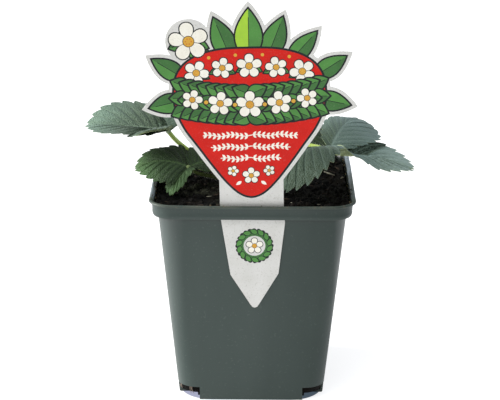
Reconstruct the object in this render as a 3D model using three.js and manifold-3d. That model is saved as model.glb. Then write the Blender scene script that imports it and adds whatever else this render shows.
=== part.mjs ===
// Young strawberry plant in a square nursery pot with a printed label.
// Millimetres, +Z up, the label to the front (-Y). The origin is the middle of the pot's underside.
import * as THREE from 'three';
import { mergeVertices } from 'three/addons/utils/BufferGeometryUtils.js';
import Module from 'manifold-3d';

const wasm = await Module();
wasm.setup();

const RAD = Math.PI / 180;

// Pot: half widths across the flats
const POT_HEIGHT = 120;
const LIP_HALF = 56.1;
const LIP_THICK = 1.6;
const LIP_INNER = 54.6;
const BAND_HALF_TOP = 54.6;
const BAND_HALF_LOW = 54.2;
const BAND_LOW_Z = 111.3;
const BAND_WALL = 1.1;
const LEDGE_THICK = 1.2;
const WALL_HALF_TOP = 51.3;
const WALL_HALF_LOW = 40.8;
const WALL_THICK = 1.2;
const FLOOR_THICK = 1.4;
const CORNER_SEGMENTS = 8;
const NOTCH_START = 28.9;
const NOTCH_HEIGHT = 8;

// Clearances
const GAP = 0.3;
const LABEL_GAP = 0.35;

// Soil
const SOIL_LEVEL = 114.8;
const SOIL_LOWEST = 113.7;
const SOIL_ROUGH = 1.3;
const SOIL_CORNER_HEIGHT = 4;
const CROWN_DIP = 2.2;
const CROWN_DIP_WIDTH = 17;
const CROWN_HOLE_RADIUS = 8.1;
const CROWN_HOLE_FLOOR = 103.1;

// Crown and leaf stalks
const CROWN_X = -8;
const CROWN_Y = 6;
const CROWN_RADIUS = 7.4;
const CROWN_BOTTOM = 103.5;
const CROWN_TOP = 117.1;
const STALK_START = 112.3;
const STALK_RADIUS_LOW = 1.6;
const STALK_RADIUS_TOP = 1.3;
const HUB_RADIUS = 1.75;

// Leaf blades
const BLADE_THICK = 0.7;
const PLEAT = 0.3;
const TOOTH_DEPTH = 0.062;

// Label: card plate on a plane that leans with the pot's wall
const CARD_THICK = 0.75;
const LABEL_TILT = 1.4;
const LABEL_X = -0.1;
const LABEL_Z = 113.1;
const SLOT_HALF = 18.3;
const SLOT_FRONT = 53.1;
const BORDER = 2.2;

const DRAFT = (WALL_HALF_TOP - WALL_HALF_LOW) / (BAND_LOW_Z - 0.8);
const LEAN = Math.atan(DRAFT);

function toManifold(geometry) {
  const bare = geometry.clone();
  bare.deleteAttribute('normal');
  bare.deleteAttribute('uv');
  const welded = mergeVertices(bare, 1e-4);
  return new wasm.Manifold(new wasm.Mesh({
    numProp: 3,
    vertProperties: new Float32Array(welded.attributes.position.array),
    triVerts: new Uint32Array(welded.index.array),
  }));
}

function solid(points, triangles) {
  const geometry = new THREE.BufferGeometry();
  geometry.setAttribute('position', new THREE.Float32BufferAttribute(points.flat(), 3));
  geometry.setIndex(triangles.flat());
  return toManifold(geometry);
}

function toGeometry(body) {
  const mesh = body.getMesh();
  const geometry = new THREE.BufferGeometry();
  const stride = mesh.numProp;
  const positions = [];
  for (let i = 0; i < mesh.vertProperties.length; i += stride) {
    positions.push(mesh.vertProperties[i], mesh.vertProperties[i + 1], mesh.vertProperties[i + 2]);
  }
  geometry.setAttribute('position', new THREE.Float32BufferAttribute(positions, 3));
  geometry.setIndex(Array.from(mesh.triVerts));
  geometry.computeVertexNormals();
  return geometry;
}

// The largest piece of a body, with small cavities between crossing blades filled
function largest(body) {
  const pieces = body.simplify(0.01).decompose();
  return pieces.reduce((a, b) => (b.volume() > a.volume() ? b : a));
}

function box(x0, x1, y0, y1, z0, z1) {
  const geometry = new THREE.BoxGeometry(x1 - x0, y1 - y0, z1 - z0);
  geometry.translate((x0 + x1) / 2, (y0 + y1) / 2, (z0 + z1) / 2);
  return toManifold(geometry);
}

function addNode(group, name, body, colour, roughness) {
  const material = new THREE.MeshStandardMaterial({ color: colour, roughness, metalness: 0 });
  material.name = `${name}_material`;
  const mesh = new THREE.Mesh(toGeometry(body), material);
  mesh.name = name;
  group.add(mesh);
}

// A rounded square ring of points at one height
function squareRing(half, corner, z) {
  const ring = [];
  const centre = half - corner;
  const signs = [[1, 1], [-1, 1], [-1, -1], [1, -1]];
  signs.forEach(([sx, sy], quarter) => {
    for (let k = 0; k <= CORNER_SEGMENTS; k += 1) {
      const angle = (quarter * 90 + (90 * k) / CORNER_SEGMENTS) * RAD;
      ring.push([sx * centre + corner * Math.cos(angle), sy * centre + corner * Math.sin(angle), z]);
    }
  });
  return ring;
}

// Closed body through a run of rings, from a cap at the first one to a cap at the last one
function loft(rings, firstCentre, lastCentre) {
  const count = rings[0].length;
  const points = rings.flat();
  const triangles = [];
  for (let r = 0; r < rings.length - 1; r += 1) {
    for (let k = 0; k < count; k += 1) {
      const a = r * count + k;
      const b = r * count + ((k + 1) % count);
      triangles.push([a, b, b + count], [a, b + count, a + count]);
    }
  }
  points.push(firstCentre, lastCentre);
  const first = points.length - 2;
  const last = points.length - 1;
  const top = (rings.length - 1) * count;
  for (let k = 0; k < count; k += 1) {
    const next = (k + 1) % count;
    triangles.push([first, next, k], [last, top + k, top + next]);
  }
  return solid(points, triangles);
}

function buildPot() {
  const lipLow = POT_HEIGHT - LIP_THICK;
  const bandInner = BAND_HALF_TOP - BAND_WALL;
  const ledgeTop = BAND_LOW_Z + LEDGE_THICK;
  const profile = [
    [WALL_HALF_LOW - 0.7, 11, 0],
    [WALL_HALF_LOW, 11.5, 0.8],
    [WALL_HALF_TOP, 10, BAND_LOW_Z],
    [BAND_HALF_LOW, 11.2, BAND_LOW_Z + 0.02],
    [BAND_HALF_TOP, 11.4, lipLow - 0.02],
    [LIP_HALF - 0.15, 12, lipLow],
    [LIP_HALF, 12.1, lipLow + 0.3],
    [LIP_HALF, 12.1, POT_HEIGHT - 0.4],
    [LIP_HALF - 0.4, 11.8, POT_HEIGHT],
    [LIP_INNER, 11, POT_HEIGHT],
    [bandInner, 10.1, POT_HEIGHT - 1.6],
    [bandInner - 0.1, 10, ledgeTop + 0.02],
    [WALL_HALF_TOP - WALL_THICK, 8.9, ledgeTop],
    [WALL_HALF_LOW - WALL_THICK, 10.4, FLOOR_THICK],
  ];
  const rings = profile.map(([half, corner, z]) => squareRing(half, corner, z));
  let pot = loft(rings, [0, 0, 0], [0, 0, FLOOR_THICK]);
  pot = pot.subtract(box(
    LABEL_X - SLOT_HALF, LABEL_X + SLOT_HALF, -SLOT_FRONT, -WALL_HALF_TOP - 0.05, 105, ledgeTop + 1,
  ));
  for (const sx of [1, -1]) {
    for (const sy of [1, -1]) {
      pot = pot.subtract(cornerBox(sx, sy, NOTCH_START, NOTCH_HEIGHT));
    }
  }
  return pot;
}

function cornerBox(sx, sy, start, height) {
  const x = [sx * start, sx * 60].sort((a, b) => a - b);
  const y = [sy * start, sy * 60].sort((a, b) => a - b);
  return box(x[0], x[1], y[0], y[1], -2, height);
}

// Lumps of the soil's surface, a little lower round the crown
function soilHeight(x, y) {
  const broad = Math.sin(x * 0.21 + 1.3) * Math.cos(y * 0.17 - 0.6) + 0.6 * Math.sin(x * 0.37 - y * 0.29);
  const fine = Math.sin(x * 0.9 + y * 0.5) * Math.sin(y * 1.1 - x * 0.4 + 2);
  const hollow = Math.exp(-((x - CROWN_X) ** 2 + (y - CROWN_Y) ** 2) / CROWN_DIP_WIDTH ** 2);
  const level = SOIL_LEVEL - CROWN_DIP * hollow;
  return Math.max(SOIL_LOWEST - 0.8 * hollow, level + SOIL_ROUGH * (0.55 * broad + 0.5 * fine));
}

function buildSoil() {
  const wallInner = (z) => WALL_HALF_LOW - WALL_THICK + (z - FLOOR_THICK) * DRAFT - GAP - 0.15;
  const floor = FLOOR_THICK + GAP;
  const shelf = BAND_LOW_Z + LEDGE_THICK + 0.4;
  const bandInner = BAND_HALF_TOP - BAND_WALL - 0.1 - GAP - 0.15;
  const rings = [
    squareRing(wallInner(floor) - 1, 10, floor),
    squareRing(wallInner(floor), 10.2, floor + 1),
    squareRing(wallInner(60), 9.3, 60),
    squareRing(wallInner(111), 8.5, 111),
    squareRing(wallInner(111), 8.5, shelf),
    squareRing(bandInner, 9.6, shelf + 0.05),
  ];
  const edge = squareRing(bandInner, 9.6, 0);
  for (const share of [1, 0.94, 0.84, 0.72, 0.58, 0.43, 0.27, 0.12]) {
    rings.push(edge.map(([x, y]) => {
      const height = soilHeight(x * share, y * share);
      return [x * share, y * share, share === 1 ? Math.max(SOIL_LOWEST, height - 1.2) : height];
    }));
  }
  let soil = loft(rings, [0, 0, floor], [0, 0, soilHeight(0, 0)]);
  soil = soil.subtract(box(-SLOT_HALF - 0.3, SLOT_HALF + 0.1, -60, -WALL_HALF_TOP + 0.1, 112, 125));
  for (const sx of [1, -1]) {
    for (const sy of [1, -1]) {
      soil = soil.subtract(cornerBox(sx, sy, NOTCH_START + 1, SOIL_CORNER_HEIGHT));
    }
  }
  const hole = new THREE.CylinderGeometry(CROWN_HOLE_RADIUS, CROWN_HOLE_RADIUS, 30, 20);
  hole.rotateX(Math.PI / 2);
  hole.translate(CROWN_X, CROWN_Y, CROWN_HOLE_FLOOR + 15);
  return soil.subtract(toManifold(hole));
}

// Round tube along a curve, its radius easing from one end to the other
function stalkTube(path, radiusLow, radiusTop, rings, sides) {
  const points = [];
  const triangles = [];
  const frames = path.computeFrenetFrames(rings, false);
  for (let r = 0; r <= rings; r += 1) {
    const t = r / rings;
    const centre = path.getPointAt(t);
    const radius = radiusTop + (radiusLow - radiusTop) * (1 - t) ** 2;
    for (let k = 0; k < sides; k += 1) {
      const angle = (k / sides) * 2 * Math.PI;
      const p = centre.clone();
      p.addScaledVector(frames.normals[r], radius * Math.cos(angle));
      p.addScaledVector(frames.binormals[r], radius * Math.sin(angle));
      points.push([p.x, p.y, p.z]);
    }
  }
  for (let r = 0; r < rings; r += 1) {
    for (let k = 0; k < sides; k += 1) {
      const a = r * sides + k;
      const b = r * sides + ((k + 1) % sides);
      triangles.push([a, b, b + sides], [a, b + sides, a + sides]);
    }
  }
  for (let k = 1; k < sides - 1; k += 1) {
    triangles.push([0, k + 1, k]);
    triangles.push([rings * sides, rings * sides + k, rings * sides + k + 1]);
  }
  return solid(points, triangles);
}

// Leaves. Each stalk leaves the crown at `root` (mm from the crown's axis), bends through two
// points and ends under its hub. Angles in degrees: yaw 0 is +X and 90 the back; pitch is the
// midrib's rise at the hub and bend its change to the tip; roll tips the blade to its right;
// fold lifts both halves like a V, and foldRight gives the right half its own; furl lifts one half
// more beside the hub, out to furlReach along the midrib; flare widens one half there, given as
// the share added and how far along the midrib it reaches.
const LEAVES = [
  {
    hub: [-48, 10, 143.1],
    root: [-4.6, 0.4],
    bend: [[-18, 13.5, 123.5], [-38, 19, 125.5]],
    colour: 0x78907f,
    leaflets: [
      {
        yaw: 175, pitch: 8, length: 46.5, half: 19.5, bend: -12, roll: -12, fold: 18, wide: 0.53,
        right: 1.12,
      },
      { yaw: 99, pitch: 18, length: 40, half: 17.5, bend: -22, roll: 2, fold: 10 },
      { yaw: 236, pitch: 19, length: 29, half: 12.5, bend: -22, roll: 20, fold: 5, teeth: 7 },
    ],
  },
  {
    hub: [-35.9, -10, 127.4],
    root: [-2.4, -4.1],
    bend: [[-14, -1, 121.8], [-30, -7, 120.6]],
    colour: 0x4a6140,
    leaflets: [
      {
        yaw: 182, pitch: 30, length: 30.5, half: 16, bend: -60, roll: -21, fold: -4, wide: 0.4,
        flareRight: [0.6, 0.5], teeth: 7, tooth: 0.1,
      },
      {
        yaw: 246, pitch: -6, length: 23, half: 8, bend: -40, roll: 20, fold: 0, wide: 0.56, left: 0.6,
        teeth: 6,
      },
      { yaw: 45, pitch: 13, length: 28, half: 15.5, bend: -32, roll: 18, fold: 6, teeth: 7 },
    ],
  },
  {
    hub: [43, -6, 136.4],
    root: [4.6, 0.4],
    bend: [[6.6, 14, 130.8], [25, 7, 141.2]],
    colour: 0x6f857e,
    leaflets: [
      {
        yaw: 66, pitch: 38, length: 45, half: 20.5, bend: -52, roll: 12, fold: -4, wide: 0.6,
        left: 0.6, tooth: 0.08,
      },
      {
        yaw: -8, pitch: -2, length: 47, half: 16, bend: -16, roll: 16, fold: 4, wide: 0.59,
        left: 0.9, right: 0.5, furlRight: 85, furlReach: 0.62, flareLeft: [0.7, 0.7],
        flareRight: [2.2, 0.4], tooth: 0.08,
      },
      {
        yaw: 229, pitch: 38, length: 50, half: 19.5, bend: -112, roll: -6, fold: 4, wide: 0.56,
        foldRight: -24, furlLeft: 30, flareLeft: [0.35, 0.4], tooth: 0.075,
      },
    ],
  },
  {
    hub: [0, 34, 138.7],
    root: [0.4, 4.6],
    bend: [[-7, 14, 124], [-1, 32, 126]],
    colour: 0x566c54,
    leaflets: [
      { yaw: 96, pitch: 14, length: 42, half: 18, bend: -40, roll: 0, fold: 10 },
      { yaw: -4, pitch: 12, length: 46, half: 16.5, bend: -52, roll: 24, fold: 6, teeth: 7 },
      { yaw: 190, pitch: 14, length: 36, half: 14.5, bend: -36, roll: 0, fold: 8, teeth: 7 },
    ],
  },
  {
    hub: [7, 8, 150.7],
    root: [-0.2, -0.1],
    bend: [[-7, 5.5, 124], [1, 5.5, 138]],
    colour: 0x6c8a5a,
    leaflets: [
      { yaw: 62, pitch: 66, length: 25, half: 10, bend: -30, roll: 0, fold: 42, teeth: 6 },
      { yaw: -40, pitch: 50, length: 21, half: 8.5, bend: -30, roll: 0, fold: 40, teeth: 6 },
      { yaw: 165, pitch: 50, length: 21, half: 8.5, bend: -30, roll: 0, fold: 40, teeth: 6 },
    ],
  },
];

// One leaflet as a function: (share of the length, share of the half width, height) -> point
function bladeSurface(hub, shape) {
  const { length, half, roll = 0, fold = 0, left = 1, right = 1 } = shape;
  const { foldRight = fold, furlLeft = 0, furlRight = 0, furlReach = 0.5, curl = 0.08 } = shape;
  const { flareLeft = [0, 1], flareRight = [0, 1] } = shape;
  const heading = new THREE.Vector3(Math.cos(shape.yaw * RAD), Math.sin(shape.yaw * RAD), 0);
  const beside = new THREE.Vector3(-heading.y, heading.x, 0);
  const up = new THREE.Vector3(0, 0, 1);
  const start = shape.pitch * RAD;
  const bend = shape.bend * RAD;
  return (x, y, height) => {
    const pitch = start + bend * x;
    const radius = length / bend;
    const point = new THREE.Vector3(...hub);
    point.addScaledVector(heading, radius * (Math.sin(pitch) - Math.sin(start)));
    point.addScaledVector(up, -radius * (Math.cos(pitch) - Math.cos(start)));
    const square = up.clone().multiplyScalar(Math.cos(pitch)).addScaledVector(heading, -Math.sin(pitch));
    const across = beside.clone().multiplyScalar(Math.cos(roll * RAD));
    across.addScaledVector(square, Math.sin(roll * RAD));
    const normal = square.clone().multiplyScalar(Math.cos(roll * RAD));
    normal.addScaledVector(beside, -Math.sin(roll * RAD));
    const side = Math.sign(y);
    const furl = (side >= 0 ? furlLeft : furlRight) * Math.max(0, 1 - x / furlReach) ** 1.5;
    const lift = side === 0 ? 0 : ((side > 0 ? fold : foldRight) + furl) * RAD;
    const [more, reach] = side >= 0 ? flareLeft : flareRight;
    const base = 1 + more * Math.max(0, 1 - x / reach);
    const out = Math.abs(y) * half * base * (side >= 0 ? left : right);
    const drop = curl * half * y * y;
    point.addScaledVector(across, side * (out * Math.cos(lift) - (height - drop) * Math.sin(lift)));
    point.addScaledVector(normal, out * Math.sin(lift) + (height - drop) * Math.cos(lift));
    return [point.x, point.y, point.z];
  };
}

// Leaf margin from hub to tip as columns: where a column starts on the midrib, where it ends
// on the toothed edge, and how far its middle bulges up between the sunken veins
function marginColumns(shape) {
  const { length, half, wide = 0.65, teeth = 8, tooth = TOOTH_DEPTH } = shape;
  const blunt = shape.blunt ?? (wide > 0.6 ? 0.45 : 0.6);
  const rise = (blunt * wide) / (1 - wide);
  const peak = wide ** rise * (1 - wide) ** blunt;
  const edge = (m) => {
    const x = (1 - Math.cos(Math.PI * m)) / 2;
    return [x, (x ** rise * Math.max(0, 1 - x) ** blunt) / peak];
  };
  const firstTooth = 0.24;
  const columns = [
    { rib: 0.002, end: edge(0.11), bulge: 0 },
    { rib: 0.006, end: edge(0.18), bulge: 0 },
  ];
  const step = (1 - firstTooth) / (teeth + 0.5);
  const ribAt = (i) => 0.02 + 0.62 * (i / (teeth - 1)) ** 1.15;
  const push = (v, height, rib, bulge) => {
    const m = firstTooth + step * v;
    const [x, y] = edge(m);
    const [xa, ya] = edge(m - 1e-4);
    const [xb, yb] = edge(m + 1e-4);
    const along = new THREE.Vector2((xb - xa) * length, (yb - ya) * half).normalize();
    const reach = tooth * length * (height - 0.4) * 0.75;
    const dx = (along.x - along.y) * reach;
    const dy = (along.y + along.x) * reach;
    columns.push({ rib, end: [x + dx / length, Math.max(0.02, y + dy / half)], bulge });
  };
  for (let i = 0; i < teeth; i += 1) {
    push(i, 0, i === 0 ? 0.012 : ribAt(i - 0.5), 1);
    push(i + 0.62, 1, ribAt(i), 0);
  }
  push(teeth, 0, ribAt(teeth - 0.5), 1);
  columns.push({ rib: 0.88, end: [1 + TOOTH_DEPTH * 0.5, 0], bulge: 0 });
  return columns;
}

function buildLeaflet(hub, shape) {
  const surface = bladeSurface(hub, shape);
  const columns = marginColumns(shape);
  const last = columns.length - 1;
  const bands = [0, 0.5, 1];
  const points = [];
  const known = new Map();
  const vertex = (face, side, column, band) => {
    const shared = band === 0 || column === last;
    const key = [face, shared ? 0 : side, column, band].join();
    if (!known.has(key)) {
      const { rib, end, bulge } = columns[column];
      const t = bands[band];
      const pleat = PLEAT * bulge * Math.sin(Math.PI * Math.min(1, t + 0.12)) + (band === 0 ? 0 : 0.1);
      const height = (face * BLADE_THICK) / 2 + pleat;
      known.set(key, points.length);
      points.push(surface(rib + (end[0] - rib) * t, side * end[1] * t, height));
    }
    return known.get(key);
  };
  const triangles = [];
  for (const face of [1, -1]) {
    for (const side of [1, -1]) {
      const flip = face * side < 0;
      for (let c = 0; c < last; c += 1) {
        for (let b = 0; b < bands.length - 1; b += 1) {
          const quad = [
            vertex(face, side, c, b), vertex(face, side, c + 1, b),
            vertex(face, side, c + 1, b + 1), vertex(face, side, c, b + 1),
          ];
          if (flip) quad.reverse();
          // the same diagonal on both faces keeps the blade's thickness even
          if (flip) triangles.push([quad[0], quad[1], quad[3]], [quad[1], quad[2], quad[3]]);
          else triangles.push([quad[0], quad[1], quad[2]], [quad[0], quad[2], quad[3]]);
        }
      }
    }
  }
  const edge = bands.length - 1;
  const wall = (from, to) => {
    const [a, b] = [vertex(-1, ...from), vertex(-1, ...to)];
    const [topA, topB] = [vertex(1, ...from), vertex(1, ...to)];
    triangles.push([a, b, topB], [a, topB, topA]);
  };
  for (let c = 0; c < last; c += 1) {
    wall([-1, c, edge], [-1, c + 1, edge]);
    wall([1, c + 1, edge], [1, c, edge]);
  }
  for (let b = 0; b < edge; b += 1) {
    wall([1, 0, b + 1], [1, 0, b]);
    wall([-1, 0, b], [-1, 0, b + 1]);
  }
  return solid(points, triangles);
}

// The stalk's centre line; `more` makes it longer at both ends, for the hollow that it stands in
function stalkPath(leaf, more) {
  const root = new THREE.Vector3(CROWN_X + leaf.root[0], CROWN_Y + leaf.root[1], STALK_START - more);
  const hub = new THREE.Vector3(...leaf.hub);
  const bends = leaf.bend.map((p) => new THREE.Vector3(...p));
  const inward = hub.clone().sub(bends[1]).normalize();
  const end = hub.clone().addScaledVector(inward, -(HUB_RADIUS + GAP + 0.05 - more));
  return new THREE.CubicBezierCurve3(root, bends[0], bends[1], end);
}

function buildPlant(group) {
  const profile = [
    [0.001, CROWN_BOTTOM], [3.4, CROWN_BOTTOM + 0.4], [5.6, CROWN_BOTTOM + 4],
    [CROWN_RADIUS, CROWN_BOTTOM + 7.5], [CROWN_RADIUS - 0.2, CROWN_TOP - 2.6],
    [5.8, CROWN_TOP - 0.6], [3.5, CROWN_TOP], [0.001, CROWN_TOP],
  ].map(([r, z]) => new THREE.Vector2(r, z));
  profile[0].x = 0;
  profile[profile.length - 1].x = 0;
  const turned = new THREE.LatheGeometry(profile, 16);
  turned.rotateX(Math.PI / 2);
  turned.translate(CROWN_X, CROWN_Y, 0);
  let crown = toManifold(turned);
  if (crown.volume() < 0) throw new Error('the crown is inside out');
  LEAVES.forEach((leaf, index) => {
    const number = index + 1;
    const hub = new THREE.SphereGeometry(HUB_RADIUS, 10, 8);
    hub.translate(...leaf.hub);
    let blade = toManifold(hub);
    for (const shape of leaf.leaflets) blade = blade.add(buildLeaflet(leaf.hub, shape));
    const path = stalkPath(leaf, 0);
    const stalk = stalkTube(path, STALK_RADIUS_LOW, STALK_RADIUS_TOP, 12, 8);
    const room = 2 * GAP;
    const socketPath = stalkPath(leaf, GAP);
    const socket = stalkTube(socketPath, STALK_RADIUS_LOW + room, STALK_RADIUS_TOP + room, 12, 8);
    addNode(group, `leaf_${number}`, largest(blade.subtract(socket)), leaf.colour, 0.75);
    addNode(group, `petiole_${number}`, stalk, 0x8fa35c, 0.7);
    crown = crown.subtract(socket);
  });
  addNode(group, 'crown', crown, 0x6b4a33, 0.9);
}

// Flat leaf shape from a point, as an outline grown by a border
function leafOutline([x, y], angle, length, half, grow) {
  const points = [];
  const steps = 9;
  const at = (t, side) => {
    const along = -grow + (length + 2.6 * grow) * t;
    const wide = side * (half + grow) * Math.sin(Math.PI * t ** 0.85) ** 0.9;
    const c = Math.cos(angle * RAD);
    const s = Math.sin(angle * RAD);
    return new THREE.Vector2(x + along * c - wide * s, y + along * s + wide * c);
  };
  for (let i = 0; i <= steps; i += 1) points.push(at(i / steps, -1));
  for (let i = steps - 1; i > 0; i -= 1) points.push(at(i / steps, 1));
  return points;
}

// Printed field of the label, half of its outline from the top to the tip
const FIELD = [
  [0, 95], [14, 94.5], [25, 92], [33, 87.5], [38, 81], [40, 72.5], [39.3, 62], [35, 51], [28, 40.5],
  [20.5, 29.5], [13.2, 19.8], [6.5, 13.3], [0, 11],
];

// Stake and the tongue below it, round from the upper right, ending in a pointed tip
const STAKE = [
  [17.1, 60], [-17.1, 60], [-17.1, 0.6], [-16.7, -2.4], [-12.4, -34.6], [-1.6, -53.2], [0.5, -54.9],
  [2.7, -53.2], [13.8, -34.3], [17.8, -2.4], [17.1, 0.6],
];

// Leaves round the field: start, angle, length, half width
const FAN = [
  [[0, 88], 90, 28, 7.2],
  [[9, 88], 69, 25, 6],
  [[20, 86], 48, 23, 5],
  [[33, 78], 33, 21, 5.2],
  [[33, 67], -13, 20.5, 5.4],
];

function buildLabel() {
  const plate = (points) => {
    const sheet = { depth: CARD_THICK, bevelEnabled: false, steps: 1 };
    return toManifold(new THREE.ExtrudeGeometry(new THREE.Shape(points), sheet));
  };
  const mirror = (points) => points.map((p) => new THREE.Vector2(-p.x, p.y)).reverse();
  const right = FIELD.map(([x, y], i) => {
    const before = i > 0 ? FIELD[i - 1] : [-FIELD[1][0], FIELD[1][1]];
    const after = FIELD[i + 1] ?? [-FIELD[i - 1][0], FIELD[i - 1][1]];
    const along = new THREE.Vector2(after[0] - before[0], after[1] - before[1]).normalize();
    return new THREE.Vector2(x - along.y * BORDER, y + along.x * BORDER);
  });
  const left = right.slice(1, -1).map((p) => new THREE.Vector2(-p.x, p.y)).reverse();
  let card = plate([...right, ...left]);
  card = card.add(plate(STAKE.map(([x, y]) => new THREE.Vector2(x, y))));
  for (const [start, angle, length, half] of FAN) {
    const outline = leafOutline(start, angle, length, half, BORDER);
    card = card.add(plate(outline)).add(plate(mirror(outline)));
  }
  const blossom = new THREE.Shape();
  blossom.absarc(-31, 98.5, 12, 0, 2 * Math.PI);
  card = card.add(plate(blossom.getPoints(8)));
  const eu = new THREE.Vector3(1, 0, 0);
  const ev = new THREE.Vector3(0, -Math.sin(LEAN), Math.cos(LEAN));
  const en = new THREE.Vector3(0, -Math.cos(LEAN), -Math.sin(LEAN));
  const tilt = LABEL_TILT * RAD;
  const u = eu.clone().multiplyScalar(Math.cos(tilt)).addScaledVector(ev, Math.sin(tilt));
  const v = ev.clone().multiplyScalar(Math.cos(tilt)).addScaledVector(eu, -Math.sin(tilt));
  const slotY = -(WALL_HALF_TOP + (LABEL_Z - BAND_LOW_Z) * DRAFT + LABEL_GAP / Math.cos(LEAN));
  return card.transform([
    u.x, u.y, u.z, 0, v.x, v.y, v.z, 0, en.x, en.y, en.z, 0, LABEL_X, slotY, LABEL_Z, 1,
  ]);
}

const group = new THREE.Group();
group.name = 'potted_strawberry';
addNode(group, 'pot', buildPot(), 0x4d5854, 0.55);
addNode(group, 'soil', buildSoil(), 0x17130f, 1);
buildPlant(group);
addNode(group, 'label', buildLabel(), 0xdcdcd6, 0.6);

export default group;
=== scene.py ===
# %% [markdown]
# # A young strawberry plant in its nursery pot
# The fixed frame gives the pot, soil, crown, stalks, leaves and label as plain solids in metres.
# Each one is replaced here by a finer piece of the same form in the same place, and gets a
# material with the detail of the real surface. Sizes of shapes below are in millimetres, and
# places in a shader are in metres.

import random
from math import atan, ceil, cos, exp, floor, hypot, pi, radians, sin

import bmesh
import bpy
from mathutils import Matrix, Vector, noise
from mathutils.geometry import delaunay_2d_cdt


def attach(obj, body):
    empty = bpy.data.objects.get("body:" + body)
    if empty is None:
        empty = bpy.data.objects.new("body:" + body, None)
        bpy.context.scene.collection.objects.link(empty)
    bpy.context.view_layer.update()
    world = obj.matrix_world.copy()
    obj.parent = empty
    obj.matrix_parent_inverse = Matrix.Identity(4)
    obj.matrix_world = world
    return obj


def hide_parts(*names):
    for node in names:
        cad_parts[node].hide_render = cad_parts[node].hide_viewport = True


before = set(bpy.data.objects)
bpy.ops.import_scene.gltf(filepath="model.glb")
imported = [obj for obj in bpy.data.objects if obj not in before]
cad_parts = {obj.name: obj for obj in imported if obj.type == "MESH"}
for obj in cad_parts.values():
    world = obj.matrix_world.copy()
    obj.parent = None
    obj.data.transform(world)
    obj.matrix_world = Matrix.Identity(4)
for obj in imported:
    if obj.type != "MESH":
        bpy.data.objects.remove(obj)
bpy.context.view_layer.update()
MM = 0.001

# %% [markdown]
# ## Helpers
# Small helpers serve the whole scene. They turn the hex colours that an image editor shows into
# the linear values that the shader wants, add a node with its settings and links, lay colours
# over each other, and make a mesh from points in millimetres and seat it on the plant. A ramp
# node takes its value, where it starts and ends, and what it goes from and to, in that order.

# %% Colours, nodes and meshes
RAMP, MATH, NOISE = "ShaderNodeMapRange", "ShaderNodeMath", "ShaderNodeTexNoise"
MAPPING, ATTRIBUTE = "ShaderNodeMapping", "ShaderNodeAttribute"


def linear(colour):
    """An sRGB hex colour as linear red, green, blue, alpha; an output stays as it is."""
    if not isinstance(colour, str):
        return colour
    parts = [int(colour[i:i + 2], 16) / 255 for i in (1, 3, 5)]
    return tuple(c / 12.92 if c <= 0.04045 else ((c + 0.055) / 1.055) ** 2.4 for c in parts) + (1.0,)


def clamp(value):
    """A value kept between 0 and 1."""
    return min(1.0, max(0.0, value))


def feed(node, inputs):
    """Gives inputs, by name or in order, a value each or a link to another node's output."""
    for name, value in inputs.items() if isinstance(inputs, dict) else enumerate(inputs):
        if isinstance(value, bpy.types.NodeSocket):
            node.id_data.links.new(value, node.inputs[name])
        else:
            node.inputs[name].default_value = value


def add_node(tree, kind, inputs=(), output=0, **settings):
    """Adds a node with its settings and inputs, and gives one of its outputs."""
    node = tree.nodes.new(kind)
    for name, value in settings.items():
        setattr(node, name, value)
    feed(node, inputs)
    return node.outputs[output] if node.outputs else node


def principled(name, colour, roughness, inputs=()):
    """A material, its tree, its shader and the place on the object."""
    material = bpy.data.materials.new(name)
    material.use_nodes = True
    shader = material.node_tree.nodes["Principled BSDF"]
    feed(shader, {"Base Color": linear(colour), "Roughness": roughness, **dict(inputs)})
    place = add_node(material.node_tree, "ShaderNodeTexCoord", output="Object")
    return material, material.node_tree, shader, place


def layered(tree, first, *layers):
    """Colours laid over a first one: each layer is one or more factors of its share, and its colour."""
    made = linear(first)
    for share, *factors, colour in layers:
        for factor in factors:
            share = add_node(tree, MATH, (share, factor), operation="MULTIPLY")
        made = add_node(tree, "ShaderNodeMix", {0: share, 6: made, 7: linear(colour)}, 2, data_type="RGBA")
    return made


def pattern(place, size, low, high, detail=3.0, rough=0.5):
    """Noise whose blotches are about size mm, spread from 0 to 1 between low and high."""
    cloud = add_node(place.id_data, NOISE, {
        "Vector": place, "Scale": 0.5 / (size * MM), "Detail": detail, "Roughness": rough}, "Fac")
    return add_node(place.id_data, RAMP, (cloud, low, high))


def relief(shader, height, depth):
    """Bump of a depth in mm on the shader, over any bump that is there already."""
    bump = add_node(shader.id_data, "ShaderNodeBump", {
        "Height": height, "Distance": depth * MM, "Strength": 1.0}, "Normal")
    if shader.inputs["Normal"].links:
        feed(bump.node, {"Normal": shader.inputs["Normal"].links[0].from_socket})
    feed(shader, {"Normal": bump})


def mottled(name, colour, roughness, dark, light, size, low, high, detail=3.0, upright=1.0, inputs=()):
    """A material that wanders between two tones in blotches, drawn out upwards if upright is small."""
    material, tree, shader, place = principled(name, colour, roughness, inputs)
    drawn_out = add_node(tree, MAPPING, {"Vector": place, "Scale": (1, 1, upright)})
    blotches = pattern(drawn_out, size, low, high, detail)
    feed(shader, {"Base Color": layered(tree, dark, (blotches, light))})
    return material, shader, place, blotches


def put(name, data):
    """A new object in the scene."""
    thing = bpy.data.objects.new(name, data)
    bpy.context.scene.collection.objects.link(thing)
    return thing


def mesh_piece(name, points, faces, materials, face_materials=None, crease=40, values=None):
    """A mesh object from points in mm. Values are numbers for each point, by attribute name."""
    mesh = bpy.data.meshes.new(name)
    mesh.from_pydata([(p[0] * MM, p[1] * MM, p[2] * MM) for p in points], [], faces)
    for material in materials:
        mesh.materials.append(material)
    if face_materials:
        mesh.polygons.foreach_set("material_index", face_materials)
    for key, numbers in (values or {}).items():
        mesh.attributes.new(key, "FLOAT", "POINT").data.foreach_set("value", numbers)
    finish_mesh(mesh, crease)
    return put(name, mesh)


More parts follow.
